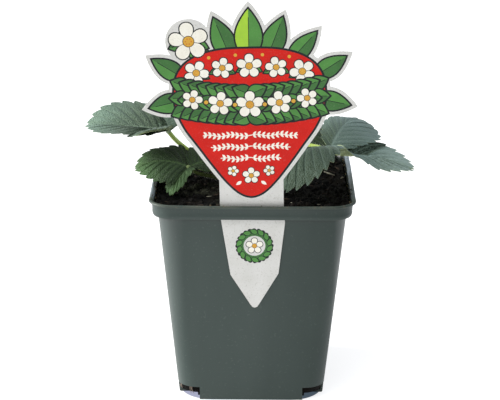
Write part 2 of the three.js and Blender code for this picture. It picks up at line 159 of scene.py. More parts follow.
def finish_mesh(mesh, crease):
    """Welds doubles, turns faces outward and shades smooth up to the crease angle."""
    shell = bmesh.new()
    shell.from_mesh(mesh)
    bmesh.ops.remove_doubles(shell, verts=shell.verts, dist=1e-7)
    bmesh.ops.dissolve_degenerate(shell, edges=shell.edges, dist=1e-8)
    bmesh.ops.recalc_face_normals(shell, faces=shell.faces)
    shell.to_mesh(mesh)
    shell.free()
    mesh.polygons.foreach_set("use_smooth", [True] * len(mesh.polygons))
    mesh.set_sharp_from_angle(angle=radians(crease))
    mesh.update()


def seat(piece, slot, *nodes):
    """The piece rides with the plant and may stand for solids; its slot is not used."""
    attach(piece, "root")
    if nodes:
        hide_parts(*nodes)
    piece.data.calc_loop_triangles()
    print(piece.name, "triangles:", len(piece.data.loop_triangles))


def add_part(points, faces, more, quads):
    """Adds another body's points and faces to those of a piece."""
    faces += [tuple(i + len(points) for i in f) for f in quads]
    points += more


def ring_faces(rings, count):
    """The quads between rings of as many points each."""
    faces = []
    for r in range(rings - 1):
        for k in range(count):
            a, b = r * count + k, r * count + (k + 1) % count
            faces.append((a, b, b + count, a + count))
    return faces


def sheet_faces(rows, across):
    """The quads of two like grids of points, where the second faces the other way."""
    faces, sheet = [], rows * across
    for r in range(rows - 1):
        for c in range(across - 1):
            a = r * across + c
            faces.append((a, a + 1, a + across + 1, a + across))
            a += sheet
            faces.append((a, a + across, a + across + 1, a + 1))
    return faces


print("helpers ready")

# %% [markdown]
# ## The camera
# The picture was taken from a little above, straight at the front of the pot, with a long lens.
# Place, pitch and roll were worked out from the pot's corners, whose sizes are known.

# %% Camera
CAMERA_PLACE = (0.21, -895.78, 388.38)
CAMERA_AZIMUTH = 0.1
CAMERA_PITCH = 17.52
CAMERA_ROLL = 0.38
FOCAL_PIXELS = 1650
PICTURE_WIDTH = 500
SENSOR_WIDTH = 36

azimuth, pitch, roll = (radians(a) for a in (CAMERA_AZIMUTH, CAMERA_PITCH, CAMERA_ROLL))
looking = Vector((-sin(azimuth) * cos(pitch), cos(azimuth) * cos(pitch), -sin(pitch)))
level = Vector((cos(azimuth), sin(azimuth), 0))
upright = level.cross(looking)
camera_right = level * cos(roll) + upright * sin(roll)
camera_up = upright * cos(roll) - level * sin(roll)

camera = put("camera", bpy.data.cameras.new("camera"))
camera.matrix_world = Matrix.Translation(Vector(CAMERA_PLACE) * MM) @ Matrix(
    (camera_right, camera_up, -looking)).transposed().to_4x4()
camera.data.sensor_fit = "HORIZONTAL"
camera.data.sensor_width = SENSOR_WIDTH
camera.data.lens = FOCAL_PIXELS / PICTURE_WIDTH * SENSOR_WIDTH
camera.data.clip_start, camera.data.clip_end = 0.05, 20
bpy.context.scene.camera = camera
print("lens:", round(camera.data.lens, 1), "mm")

# %% [markdown]
# ## The pot's plastic
# Nursery pots like this are blown or pressed from recycled polypropylene: a dark grey-green with
# a soft sheen, never quite even. Slow flow of the melt leaves faint upright streaks, the mould
# leaves a fine grain, and soil dust settles inside the rim and at its edge. Light and shade are
# painted on as well: a pale bluish reflection on the sides of the lip, most at the back of the
# right one, a plastic painted darker towards the right, and a dark line of painted shade under
# the band. The specular level is higher at the two side corners and falls towards the right.

# %% Recycled polypropylene
pot_plastic, tree, shader, place = principled("recycled_polypropylene", "#263631", 0.46, {"IOR": 1.49})
streaks = pattern(add_node(tree, MAPPING, {"Vector": place, "Scale": (1, 1, 0.12)}), 7, 0.35, 0.7)
blotches = pattern(place, 30, 0.3, 0.7)
specks = pattern(place, 0.7, 0.66, 0.72, detail=1.0)
rubbed = pattern(place, 5, 0.3, 0.62)
bits = pattern(place, 0.9, 0.6, 0.66, detail=2.0)
caked = add_node(tree, MATH, (pattern(place, 2.2, 0.52, 0.6), 0.3, 0.68), operation="MULTIPLY_ADD")
inside, lip, painted_reflection = (
    add_node(tree, ATTRIBUTE, (), "Fac", attribute_name=key) for key in ("inside", "lip", "painted_reflection"))
axes = add_node(tree, "ShaderNodeSeparateXYZ", (place,)).node.outputs
# Ramps by height and side: painted shade in a line under the band and towards the right, a specular level
# that rises at the side corners and falls towards the right, and gloss by blotch.
shade_below_band, not_band, shade_to_right, sheen, at_left, at_right, gloss = (add_node(tree, RAMP, row) for row in (
    (axes["Z"], 0.1090, 0.1104, 0.0, 0.45), (axes["Z"], 0.1108, 0.1110, 1.0, 0.0),
    (axes["X"], -0.008, 0.05, 0.0, 0.42), (axes["X"], 0.0, 0.05, 0.5, 0.34),
    (axes["X"], -0.037, -0.046, 0.0, 0.42), (axes["X"], 0.0445, 0.0485, 0.0, 0.45),
    (blotches, 0.0, 1.0, 0.4, 0.52)))
corners = add_node(tree, MATH, (at_left, at_right))
feed(shader, {
    "Base Color": layered(
        tree, "#243530", (streaks, "#2a3a35"), (blotches, 0.5, "#22312d"), (specks, 0.22, "#4c5852"),
        (caked, inside, "#191613"), (lip, rubbed, "#3d453c"), (bits, 0.6, lip, "#5a5344"),
        # The last three layers are painted light and shade: a pale reflection on the lip, a darker right side
        # and a dark line under the band.
        (painted_reflection, "#b4c3d1"), (shade_to_right, "#18231f"), (shade_below_band, not_band, "#121a17")),
    "Roughness": add_node(tree, MATH, (inside, -0.2, gloss), operation="MULTIPLY_ADD"),
    "Specular IOR Level": add_node(tree, MATH, (corners, not_band, sheen), operation="MULTIPLY_ADD")})
relief(shader, pattern(place, 0.5, 0.2, 0.8), 0.012)
relief(shader, streaks, 0.02)
print("pot plastic made")

# %% [markdown]
# ## The pot
# The pot is one thin shell: a tapering square wall with round corners, a step out to a band
# under the rim, and a rolled lip. A section is carried round a rounded square, from the
# underside up the outside, over the lip and down the inside, so that the shell is closed. The
# front rim sags a little and the right one bows out, as on a pot that has been handled. The
# label's slot and the four drainage notches are then cut with boxes.

# %% Pot shell
POT_HEIGHT = 120
LIP_HALF = 56.1
BAND_HALF_TOP = 54.6
BAND_HALF_LOW = 54.2
BAND_LOW = 111.3
LEDGE_TOP = 112.5
WALL_TOP = 51.3
WALL_LOW = 40.8
WALL_THICK = 1.2
FLOOR_THICK = 1.4
DRAFT = (WALL_TOP - WALL_LOW) / (BAND_LOW - 0.8)
LEAN = atan(DRAFT)
NOTCH_START = 28.9
NOTCH_HEIGHT = 8
LABEL_X = -0.1
LABEL_Z = 113.1
SLOT_HALF = 18.3
SLOT_FRONT = 53.1
RIM_SAG = 0.5
RIM_BOW = 0.9
CORNER_STEPS, SIDE_STEPS = 14, 12
CORNERS = [(1, 1), (-1, 1), (-1, -1), (1, -1)]


def square_ring(half, corner, z, hollow=0.0):
    """A rounded square at one height; hollow pulls the middle of its sides in."""
    ring = []
    centre = half - corner
    for quarter, (sx, sy) in enumerate(CORNERS):
        for k in range(CORNER_STEPS + 1):
            angle = radians(quarter * 90 + 90 * k / CORNER_STEPS)
            ring.append((sx * centre + corner * cos(angle), sy * centre + corner * sin(angle), z))
        start, turn = Vector(ring[-1]), radians(quarter * 90 + 90)
        step, inward = Vector((-sin(turn), cos(turn), 0)), Vector((-cos(turn), -sin(turn), 0))
        for k in range(1, SIDE_STEPS):
            share = k / SIDE_STEPS
            ring.append(tuple(start + step * (2 * centre * share) + inward * (hollow * sin(pi * share) ** 2)))
    return ring


def pot_section():
    """Half width, corner radius, height and hollow from the middle of the underside to the inner floor."""
    section = [(20, 6, 0.25, 0), (34, 9, 0.1, 0), (39.5, 10.8, 0, 0), (40.2, 11.1, 0.05, 0),
               (40.65, 11.4, 0.35, 0), (WALL_LOW, 11.5, 0.8, 0)]
    for k in range(1, 21):
        t = k / 20
        section.append((WALL_LOW + (WALL_TOP - 0.1 - WALL_LOW) * t, 11.5 - 1.5 * t,
                        0.8 + (BAND_LOW - 1.6) * t, 0.45 * sin(pi * t)))
    section += [
        (WALL_TOP + 0.05, 10.0, BAND_LOW - 0.35, 0), (WALL_TOP + 0.4, 10.2, BAND_LOW - 0.05, 0),
        (BAND_HALF_LOW - 0.7, 11.0, BAND_LOW - 0.05, 0), (BAND_HALF_LOW - 0.35, 11.2, BAND_LOW, 0),
        (BAND_HALF_LOW - 0.2, 11.2, BAND_LOW + 0.25, 0), (BAND_HALF_LOW + 0.1, 11.2, BAND_LOW + 1.4, 0),
        (BAND_HALF_LOW + 0.16, 11.2, BAND_LOW + 1.9, 0), (BAND_HALF_LOW + 0.12, 11.2, BAND_LOW + 2.4, 0),
        (BAND_HALF_TOP - 0.25, 11.3, 115, 0.15), (BAND_HALF_TOP - 0.1, 11.4, 117.7, 0),
        (BAND_HALF_TOP + 0.1, 11.5, 118.25, 0), (LIP_HALF - 0.5, 11.9, 118.5, 0),
        (LIP_HALF - 0.1, 12.1, 118.75, 0), (LIP_HALF, 12.1, 119.15, 0), (LIP_HALF - 0.12, 12.1, 119.6, 0),
        (LIP_HALF - 0.5, 11.9, 119.9, 0), (LIP_HALF - 0.9, 11.5, POT_HEIGHT, 0),
        (54.85, 11.2, 119.92, 0), (54.5, 10.9, 119.6, 0), (53.8, 10.4, 118.8, 0), (53.5, 10.2, 118.2, 0),
        (53.4, 10.1, 116, 0), (53.35, 10.0, 113.2, 0), (53.1, 9.9, LEDGE_TOP + 0.1, 0),
        (52.5, 9.7, LEDGE_TOP, 0), (50.9, 9.1, LEDGE_TOP, 0), (50.3, 8.9, LEDGE_TOP - 0.2, 0),
        (50.05, 8.9, LEDGE_TOP - 0.8, 0),
    ]
    for k in range(1, 11):
        t = k / 10
        section.append((50.05 + (WALL_LOW - WALL_THICK - 50.05) * t, 8.9 + 1.5 * t,
                        111.7 + (FLOOR_THICK + 0.4 - 111.7) * t, 0.45 * sin(pi * t)))
    return section + [(38.9, 10.2, FLOOR_THICK, 0), (20, 6, FLOOR_THICK + 0.2, 0)]


def loft(rings, first_middle, last_middle):
    """Points and faces of a closed body through rings of as many points each."""
    count = len(rings[0])
    points = [p for ring in rings for p in ring] + [first_middle, last_middle]
    faces = ring_faces(len(rings), count)
    top = (len(rings) - 1) * count
    for k in range(count):
        after = (k + 1) % count
        faces.append((len(points) - 2, after, k))
        faces.append((len(points) - 1, top + k, top + after))
    return points, faces


def cut_boxes(piece, boxes):
    """Takes boxes (x0, x1, y0, y1, z0, z1) in mm out of a piece."""
    for x0, x1, y0, y1, z0, z1 in boxes:
        bpy.ops.mesh.primitive_cube_add(size=1, location=(0, 0, 0))
        cutter = bpy.context.object
        cutter.data.transform(Matrix.Translation(Vector(((x0 + x1) / 2, (y0 + y1) / 2, (z0 + z1) / 2)) * MM)
                              @ Matrix.Diagonal(((x1 - x0) * MM, (y1 - y0) * MM, (z1 - z0) * MM, 1)))
        cut = piece.modifiers.new("cut", "BOOLEAN")
        cut.object, cut.operation, cut.solver = cutter, "DIFFERENCE", "EXACT"
        made = bpy.data.meshes.new_from_object(piece.evaluated_get(bpy.context.evaluated_depsgraph_get()))
        piece.modifiers.clear()
        piece.data = made
        bpy.data.objects.remove(cutter)


def corner_box(sx, sy, start, height):
    """A box that takes away one lower corner."""
    x0, x1 = sorted((sx * start, sx * 62))
    y0, y1 = sorted((sy * start, sy * 62))
    return (x0, x1, y0, y1, -3, height)


def painted_reflection_at(x, y):
    """How much painted pale reflection lies on the lip: on its two sides, and most at the back of the right
    one.
    """
    at_back = (0.24 + 0.76 * clamp((y + 14) / 30)) * (1 - 0.6 * exp(-((y - 2) / 6) ** 2))
    return clamp((abs(x) - 42) / 8) * clamp((y + 44) / 8) * (at_back if x > 0 else 0.24)


section = pot_section()
points, faces = loft([square_ring(*s) for s in section], (0, 0, 0.3), (0, 0, FLOOR_THICK + 0.2))
for i, (x, y, z) in enumerate(points):
    if z > BAND_LOW:
        sag = RIM_SAG * (z - BAND_LOW) / (POT_HEIGHT - BAND_LOW) * max(0.0, 1 - (x / 52) ** 4)
        bow = RIM_BOW * (z - BAND_LOW) / (POT_HEIGHT - BAND_LOW) * clamp((y + 55) / 75)
        points[i] = (x + (bow if x > 45 else 0), y, z - (sag if y < -50 else 0))
per_ring = len(square_ring(20, 6, 0))
heights = [s[2] for s in section]
lip_from, inner_from = heights.index(118.5), heights.index(119.92)
rows = [i // per_ring for i in range(len(points))]
on_lip = [float(lip_from <= row <= inner_from + 2) for row in rows]
# Values on the points: soil dust inside, the lip, a painted pale reflection on the lip, and room for crumbs.
pot_shell = mesh_piece("pot_shell", points, faces, [pot_plastic], values={
    "inside": [float(row >= inner_from + 2) for row in rows], "lip": on_lip,
    "painted_reflection": [rim * painted_reflection_at(p[0], p[1]) for rim, p in zip(on_lip, points)],
    "crumb_room": [float(inner_from <= row <= inner_from + 8) for row in rows]})
cut_boxes(pot_shell, [corner_box(sx, sy, NOTCH_START, NOTCH_HEIGHT) for sx, sy in CORNERS]
          + [(LABEL_X - SLOT_HALF, LABEL_X + SLOT_HALF, -SLOT_FRONT, -WALL_TOP + 0.05, 105, LEDGE_TOP + 1)])
finish_mesh(pot_shell.data, 32)
seat(pot_shell, "pot", "pot")

# %% [markdown]
# ## Soil
# Moist peat is close to black, and its crumbs are seen only by their edges. The block's top is
# a grid pushed up and down by turbulence in two sizes, and it covers the pot's inner ledge. Two
# values on its points say where crumbs may lie and where a thin green-brown moss has grown.

# %% Peat and the soil block
peat, tree, shader, place = principled("moist_peat", "#120f0c", 0.9, {"Specular IOR Level": 0.1})
grain = pattern(place, 1.6, 0.35, 0.7, detail=5.0, rough=0.65)
brown = pattern(place, 6, 0.55, 0.75)
tufts = pattern(place, 2.5, 0.42, 0.6, detail=4.0)
mossy = add_node(tree, ATTRIBUTE, (), "Fac", attribute_name="moss")
feed(shader, {
    "Base Color": layered(
        tree, "#030303", (grain, "#100e0b"), (brown, 0.4, "#231c14"), (mossy, tufts, "#34352a")),
    "Roughness": add_node(tree, RAMP, (grain, 0.0, 1.0, 0.72, 0.95))})
relief(shader, grain, 0.5)
relief(shader, tufts, 0.3)

SOIL_LEVEL = 114.8
SOIL_LOWEST = 113.7
SOIL_ROUGH = 1.3
SOIL_CORNER_HEIGHT = 4
CROWN_X, CROWN_Y = -8, 6
CROWN_DIP, CROWN_DIP_WIDTH = 2.2, 17
SHELF = LEDGE_TOP + 0.4
RIM_RISE = 1.5
MOSS_SPOTS = [(-28, -8, 15), (-14, -34, 9), (30, 30, 7)]


def soil_height(x, y):
    """The solid's own lumps and dip, with finer crumbs on them and a hollow for the crown."""
    broad = sin(x * 0.21 + 1.3) * cos(y * 0.17 - 0.6) + 0.6 * sin(x * 0.37 - y * 0.29)
    fine = sin(x * 0.9 + y * 0.5) * sin(y * 1.1 - x * 0.4 + 2)
    reach = hypot(x - CROWN_X, y - CROWN_Y)
    dip = exp(-(reach / CROWN_DIP_WIDTH) ** 2)
    z = SOIL_LEVEL - CROWN_DIP * dip + SOIL_ROUGH * (0.55 * broad + 0.5 * fine)
    z = max(SOIL_LOWEST - 0.8 * dip, z)
    z += 0.9 * noise.turbulence(Vector((x, y, 0)) * 0.22, 4, False) - 0.45
    z += 0.5 * noise.noise(Vector((x, y, 5)) * 0.8)
    return z - 2.5 * max(0.0, 1 - (reach / 8.4) ** 4)


def soil_wall(z):
    return WALL_LOW - WALL_THICK + (z - FLOOR_THICK) * DRAFT - 0.45


def moss_at(x, y):
    """How much moss there is at a place, from 0 to 1."""
    edge = 4 * noise.noise(Vector((x, y, 9)) * 0.2)
    return max(clamp((r + edge - hypot(x - u, y - v)) / 4) for u, v, r in MOSS_SPOTS)


soil_rings = [square_ring(soil_wall(1.7) - 1, 10, 1.7), square_ring(soil_wall(2.7), 10.2, 2.7)]
soil_rings += [square_ring(soil_wall(z), 10.2 - z / 72, z) for z in (6, 9, 14, 30, 60, 90, 104, 109, SHELF)]
soil_rings += [square_ring(51.6, 9.0, SHELF + 0.02), square_ring(52.8, 9.6, SHELF + 0.05)]
edge_ring = square_ring(52.85, 9.6, 0)
TOP_STEPS = 50
top_from = len(soil_rings)
for k in range(TOP_STEPS):
    share = 1 - k / TOP_STEPS
    ring = []
    for x, y, _ in edge_ring:
        z = max(SHELF + 0.7, soil_height(x * share, y * share) + RIM_RISE * max(0.0, 1 - k / 5))
        ring.append((x * share, y * share, z))
    soil_rings.append(ring)
points, faces = loft(soil_rings, (0, 0, 1.7), (0, 0, soil_height(0, 0)))
on_top = [(top_from + 1) * per_ring <= i != len(points) - 2 for i in range(len(points))]
soil_block = mesh_piece("soil_block", points, faces, [peat], crease=180, values={
    "crumb_room": [float(top) for top in on_top],
    "moss": [moss_at(p[0], p[1]) if top else 0.0 for p, top in zip(points, on_top)]})
cut_boxes(soil_block, [corner_box(sx, sy, NOTCH_START + 1.1, SOIL_CORNER_HEIGHT) for sx, sy in CORNERS]
          + [(-SLOT_HALF - 0.2, SLOT_HALF + 0.1, -60, -WALL_TOP + 0.1, LEDGE_TOP - 0.5, 125)])
finish_mesh(soil_block.data, 70)
seat(soil_block, "soil", "soil")

# %% [markdown]
# ### Crumbs
# The tree scatters points where the attribute crumb_room allows it, puts a small round stone
# shape on each with its own size and turn, and pushes its surface about with noise so that it
# turns into a clod. The longest step of such a tree is the last one: it makes the copies real.

# %% A Geometry Nodes tree that scatters crumbs
def new_tree(name, numbers):
    """A tree with a surface, a material, a seed and named numbers as inputs, and those inputs."""
    tree = bpy.data.node_groups.new(name, "GeometryNodeTree")
    sockets = [("Surface", "Geometry"), ("Finish", "Material"), ("Seed", "Int")]
    for key, kind in sockets + [(number, "Float") for number in numbers]:
        tree.interface.new_socket(key, in_out="INPUT", socket_type="NodeSocket" + kind)
    tree.interface.new_socket("Made", in_out="OUTPUT", socket_type="NodeSocketGeometry")
    return tree, add_node(tree, "NodeGroupInput").node.outputs


def close_tree(tree, given, made):
    """Ends a tree: copies made real, shaded smooth and given their finish."""
    made = add_node(tree, "GeometryNodeRealizeInstances", (made,))
    made = add_node(tree, "GeometryNodeSetShadeSmooth", (made,))
    made = add_node(tree, "GeometryNodeSetMaterial", {"Geometry": made, "Material": given["Finish"]})
    add_node(tree, "NodeGroupOutput", {"Made": made})


def run_tree(name, tree, surface, finish, seed, numbers):
    """Runs a tree on a piece's surface and returns what it made as a plain mesh piece."""
    carrier = put(name + "_carrier", surface.data)
    modifier = carrier.modifiers.new(name, "NODES")
    modifier.node_group = tree
    given = {"Finish": finish, "Seed": seed, **numbers}
    for socket in tree.interface.items_tree:
        if socket.item_type == "SOCKET" and socket.in_out == "INPUT" and socket.name in given:
            modifier[socket.identifier] = given[socket.name]
    mesh = bpy.data.meshes.new_from_object(carrier.evaluated_get(bpy.context.evaluated_depsgraph_get()))
    bpy.data.objects.remove(carrier)
    return put(name, mesh)


crumb_tree, given = new_tree("scatter_crumbs", ["Per square metre", "Smallest", "Largest", "Roughness"])
allowed = add_node(crumb_tree, "GeometryNodeInputNamedAttribute", {"Name": "crumb_room"}, data_type="FLOAT")
spots = add_node(crumb_tree, "GeometryNodeDistributePointsOnFaces", {
    "Mesh": given["Surface"], "Selection": allowed,
    "Density": given["Per square metre"], "Seed": given["Seed"]}, "Points")
stone = add_node(crumb_tree, "GeometryNodeMeshIcoSphere", {"Radius": 1.0, "Subdivisions": 2}, "Mesh")
spin = add_node(crumb_tree, "FunctionNodeRandomValue", {1: (6.28, 6.28, 6.28)}, data_type="FLOAT_VECTOR")
chance = add_node(crumb_tree, "FunctionNodeRandomValue", {"Seed": 7}, 1, data_type="FLOAT")
rare = add_node(crumb_tree, MATH, (chance, 4.0), operation="POWER")
size = add_node(crumb_tree, RAMP, (rare, 0.0, 1.0, given["Smallest"], given["Largest"]))
clods = add_node(crumb_tree, "GeometryNodeInstanceOnPoints", {
    "Points": spots, "Instance": stone, "Rotation": spin, "Scale": size})
loose = add_node(crumb_tree, "GeometryNodeRealizeInstances", (clods,))
where = add_node(crumb_tree, "GeometryNodeInputPosition")
cloud = add_node(crumb_tree, NOISE, {"Vector": where, "Scale": 900.0, "Detail": 3.0}, "Color")
around = add_node(crumb_tree, "ShaderNodeVectorMath", (cloud, (0.5, 0.5, 0.5)), operation="SUBTRACT")
push = add_node(crumb_tree, "ShaderNodeVectorMath", {
    0: around, "Scale": given["Roughness"]}, operation="SCALE")
rough_clods = add_node(crumb_tree, "GeometryNodeSetPosition", {"Geometry": loose, "Offset": push})
close_tree(crumb_tree, given, rough_clods)

dry_soil = mottled("dried_soil", "#4a4133", 0.9, "#1b1611", "#62563f", 2, 0.4, 0.6,
                   inputs={"Specular IOR Level": 0.2})[0]
for name, surface, finish, seed, density, smallest, largest, rough in (
        ("soil_crumbs", soil_block, peat, 3, 150000.0, 0.35, 1.9, 2.4),
        ("rim_crumbs", pot_shell, dry_soil, 8, 90000.0, 0.15, 0.75, 0.9)):
    seat(run_tree(name, crumb_tree, surface, finish, seed, {
        "Per square metre": density, "Smallest": smallest * MM, "Largest": largest * MM,
        "Roughness": rough * MM}), "soil")

# %% [markdown]
# ### Bark chips and fibres
# Potting soil holds shreds of bark and a few pale chips. Each one is a flat splinter with an
# uneven outline, thinner at its ends, that lies on the soil with its own slope.

# %% Bark chips on the soil
bark, shader, place, _ = mottled("bark_shreds", "#2b2119", 0.85, "#1a140f", "#3b2e22", 3, 0.4, 0.62,
                                 inputs={"Specular IOR Level": 0.3})
relief(shader, pattern(place, 0.5, 0.3, 0.7), 0.1)
pale_wood = mottled("pale_wood_chip", "#7b7668", 0.8, "#5a564b", "#98937f", 1.5, 0.35, 0.65)[0]
# Each chip: place, length, width and turn
PALE_CHIPS = [(44.3, 18.5, 7.0, 1.9, -34), (52.3, 22.0, 5.5, 1.5, 84), (51.6, 12.0, 6.5, 0.7, 70),
              (-24, -22, 3.5, 0.8, 30), (22, -38, 3, 0.7, -50), (14, 40, 4, 1.0, 15), (-38, 38, 3.6, 1.1, 60),
              (36, -36, 2.6, 0.8, 10)]
DARK_CHIPS = 150


def chip(x, y, length, width, turn, dice):
    """A splinter on the soil: six cross sections along it, each with four corners."""
    z = max(SHELF + 0.7, soil_height(x, y)) + 0.55
    along = Vector((cos(radians(turn)), sin(radians(turn)), dice.uniform(-0.15, 0.15)))
    across = Vector((-along.y, along.x, dice.uniform(-0.3, 0.3)))
    points = []
    for k in range(6):
        share = k / 5
        middle = Vector((x, y, z)) + along * (length * (share - 0.5)) + across * dice.uniform(-0.15, 0.15)
        half = width / 2 * (0.35 + 0.65 * sin(pi * min(1.0, share + 0.05))) * dice.uniform(0.75, 1.1)
        for s, h in ((-1, 0), (1, 0), (0.8, 1), (-0.8, 1)):
            points.append(middle + across * (s * half) + Vector((0, 0, h * min(0.5, 0.4 * width))))
    return points, ring_faces(6, 4) + [(3, 2, 1, 0), (20, 21, 22, 23)]


dice = random.Random(5)
chips = [(*c, 1) for c in PALE_CHIPS]
for _ in range(DARK_CHIPS):
    low_high = ((-51, 51), (-49, 51), (1.5, 5), (0.4, 1.3), (0, 180))
    chips.append((*[dice.uniform(*ends) for ends in low_high], 0))
points, faces, kinds = [], [], []
for x, y, length, width, turn, kind in chips:
    if hypot(x - CROWN_X, y - CROWN_Y) >= 11:
        more, quads = chip(x, y, length, width, turn, dice)
        add_part(points, faces, more, quads)
        kinds += [kind] * len(quads)
seat(mesh_piece("bark_chips", points, faces, [bark, pale_wood], kinds, crease=50), "soil")

# %% [markdown]
# ## Leaves: the finish
# A strawberry leaflet is matt grey-green above, with a bloom that makes it look bluish where the
# light grazes it, and paler and yellower below. The veins are lighter lines in sunken grooves, and
# the grooves get painted shade. Each leaf has its own colours, and the low leaf is the darkest.
# The mesh carries how close each point is to a vein, which face it is on, and a tone whose pale
# and deep ends are partly the leaf's own colour and partly painted light and shade; beyond the
# deep end the blade goes to a near black that is painted shadow. The fine net between the veins
# is bump.

# %% Leaf skin
def leaf_skin(name, blade, patch, pale, deep, vein, below, bloom=0.2, gleam=0.35):
    """A leaf material from its colours: blade, its patches, pale, deep, vein and underside."""
    material, tree, shader, place = principled(name, blade, 0.6, {
        "Sheen Roughness": 0.45, "Sheen Tint": linear("#dfeaf0")})
    near_vein, valley, tone, lower = (
        add_node(tree, ATTRIBUTE, (), "Fac", attribute_name=key)
        for key in ("vein", "valley", "tone", "below"))
    patches, mottle = pattern(place, 7, 0.35, 0.68), pattern(place, 1.1, 0.3, 0.7)
    paler, deeper, painted_shadow, dull = (add_node(tree, RAMP, row) for row in (
        (tone,), (tone, 0.0, -1.0), (tone, -1.0, -2.0), (mottle, 0.0, 1.0, 0.52, 0.68)))
    flat_place = add_node(tree, "ShaderNodeUVMap", uv_map="blade")
    bent = add_node(tree, NOISE, {"Vector": flat_place, "Scale": 5.0}, "Color")
    bent_place = add_node(tree, "ShaderNodeMix", {0: 0.06, 4: flat_place, 5: bent}, 1, data_type="VECTOR")
    net = add_node(tree, "ShaderNodeTexVoronoi", {
        "Vector": bent_place, "Scale": 8.5, "Randomness": 0.9}, "Distance", feature="DISTANCE_TO_EDGE")
    cells, thread = (add_node(tree, RAMP, row) for row in ((net, 0.0, 0.35), (net, 0.0, 0.09, 0.2, 0.0)))
    # The near black is painted shadow, and the deep colour in the valleys is painted shade.
    top = layered(tree, blade, (patches, patch), (paler, pale), (deeper, deep), (painted_shadow, "#10160d"),
                  (valley, 0.2, deep), (mottle, 0.22, patch), (thread, vein), (near_vein, 0.33, vein))
    under = layered(tree, below, (near_vein, "#b9c784"), (mottle, 0.3, blade))
    feed(shader, {
        "Base Color": layered(tree, top, (lower, under)), "Roughness": dull,
        # Where the shadow is painted, the blade neither gleams nor shows bloom.
        "Specular IOR Level": add_node(tree, RAMP, (painted_shadow, 0.0, 1.0, gleam, 0.02)),
        "Sheen Weight": add_node(tree, RAMP, (painted_shadow, 0.0, 1.0, bloom, 0.0))})
    relief(shader, cells, 0.27)
    relief(shader, mottle, 0.08)
    return material


LEAF_SKINS = [
    leaf_skin("leaf_skin_left", "#5d7565", "#506756", "#7f9985", "#2a3c24", "#8fa68a", "#5f7050"),
    leaf_skin("leaf_skin_low", "#263a1f", "#1d2e17", "#4d6c42", "#131e0d", "#5d7a48", "#6f8453", 0.02, 0.2),
    leaf_skin("leaf_skin_right", "#586e67", "#4b6057", "#7f9389", "#30442a", "#8ba196", "#b3c190"),
    leaf_skin("leaf_skin_back", "#485d47", "#3b4f3a", "#61785c", "#28351f", "#768a63", "#7d9063", 0.1, 0.3),
    leaf_skin("leaf_skin_young", "#5c7a46", "#4f6e3b", "#7e9a5d", "#3b5529", "#8ea66b", "#8fa172", 0.35, 0.4),
]
print("leaf skins:", len(LEAF_SKINS))

# %% [markdown]
# ## Leaves: the form
# A leaflet is a surface along its midrib, with straight side veins that each run out into a
# tooth. It is built in columns from midrib to margin. Between two veins the blade bulges up,
# which gives the pleats. The same numbers as in the solids place and bend it: yaw 0 is to the
# right and 90 to the back, pitch is the rise at the hub, bend its change to the tip, roll and
# fold tip and lift the halves, and furl folds one half up beside the hub. Flare widens one half
# near the hub, sag lowers the blade there, and a smaller round_teeth gives blunter teeth. Tone
# is how pale the blade is at hub, middle and tip, partly its own colour and partly painted light
# and shade. Dark paints shade on the left and the right half towards the hub, and shade paints
# the shadow of the leaflet above on one side of a slanting line. The stalk of a leaf marked
# shaded is painted darker, as shade.

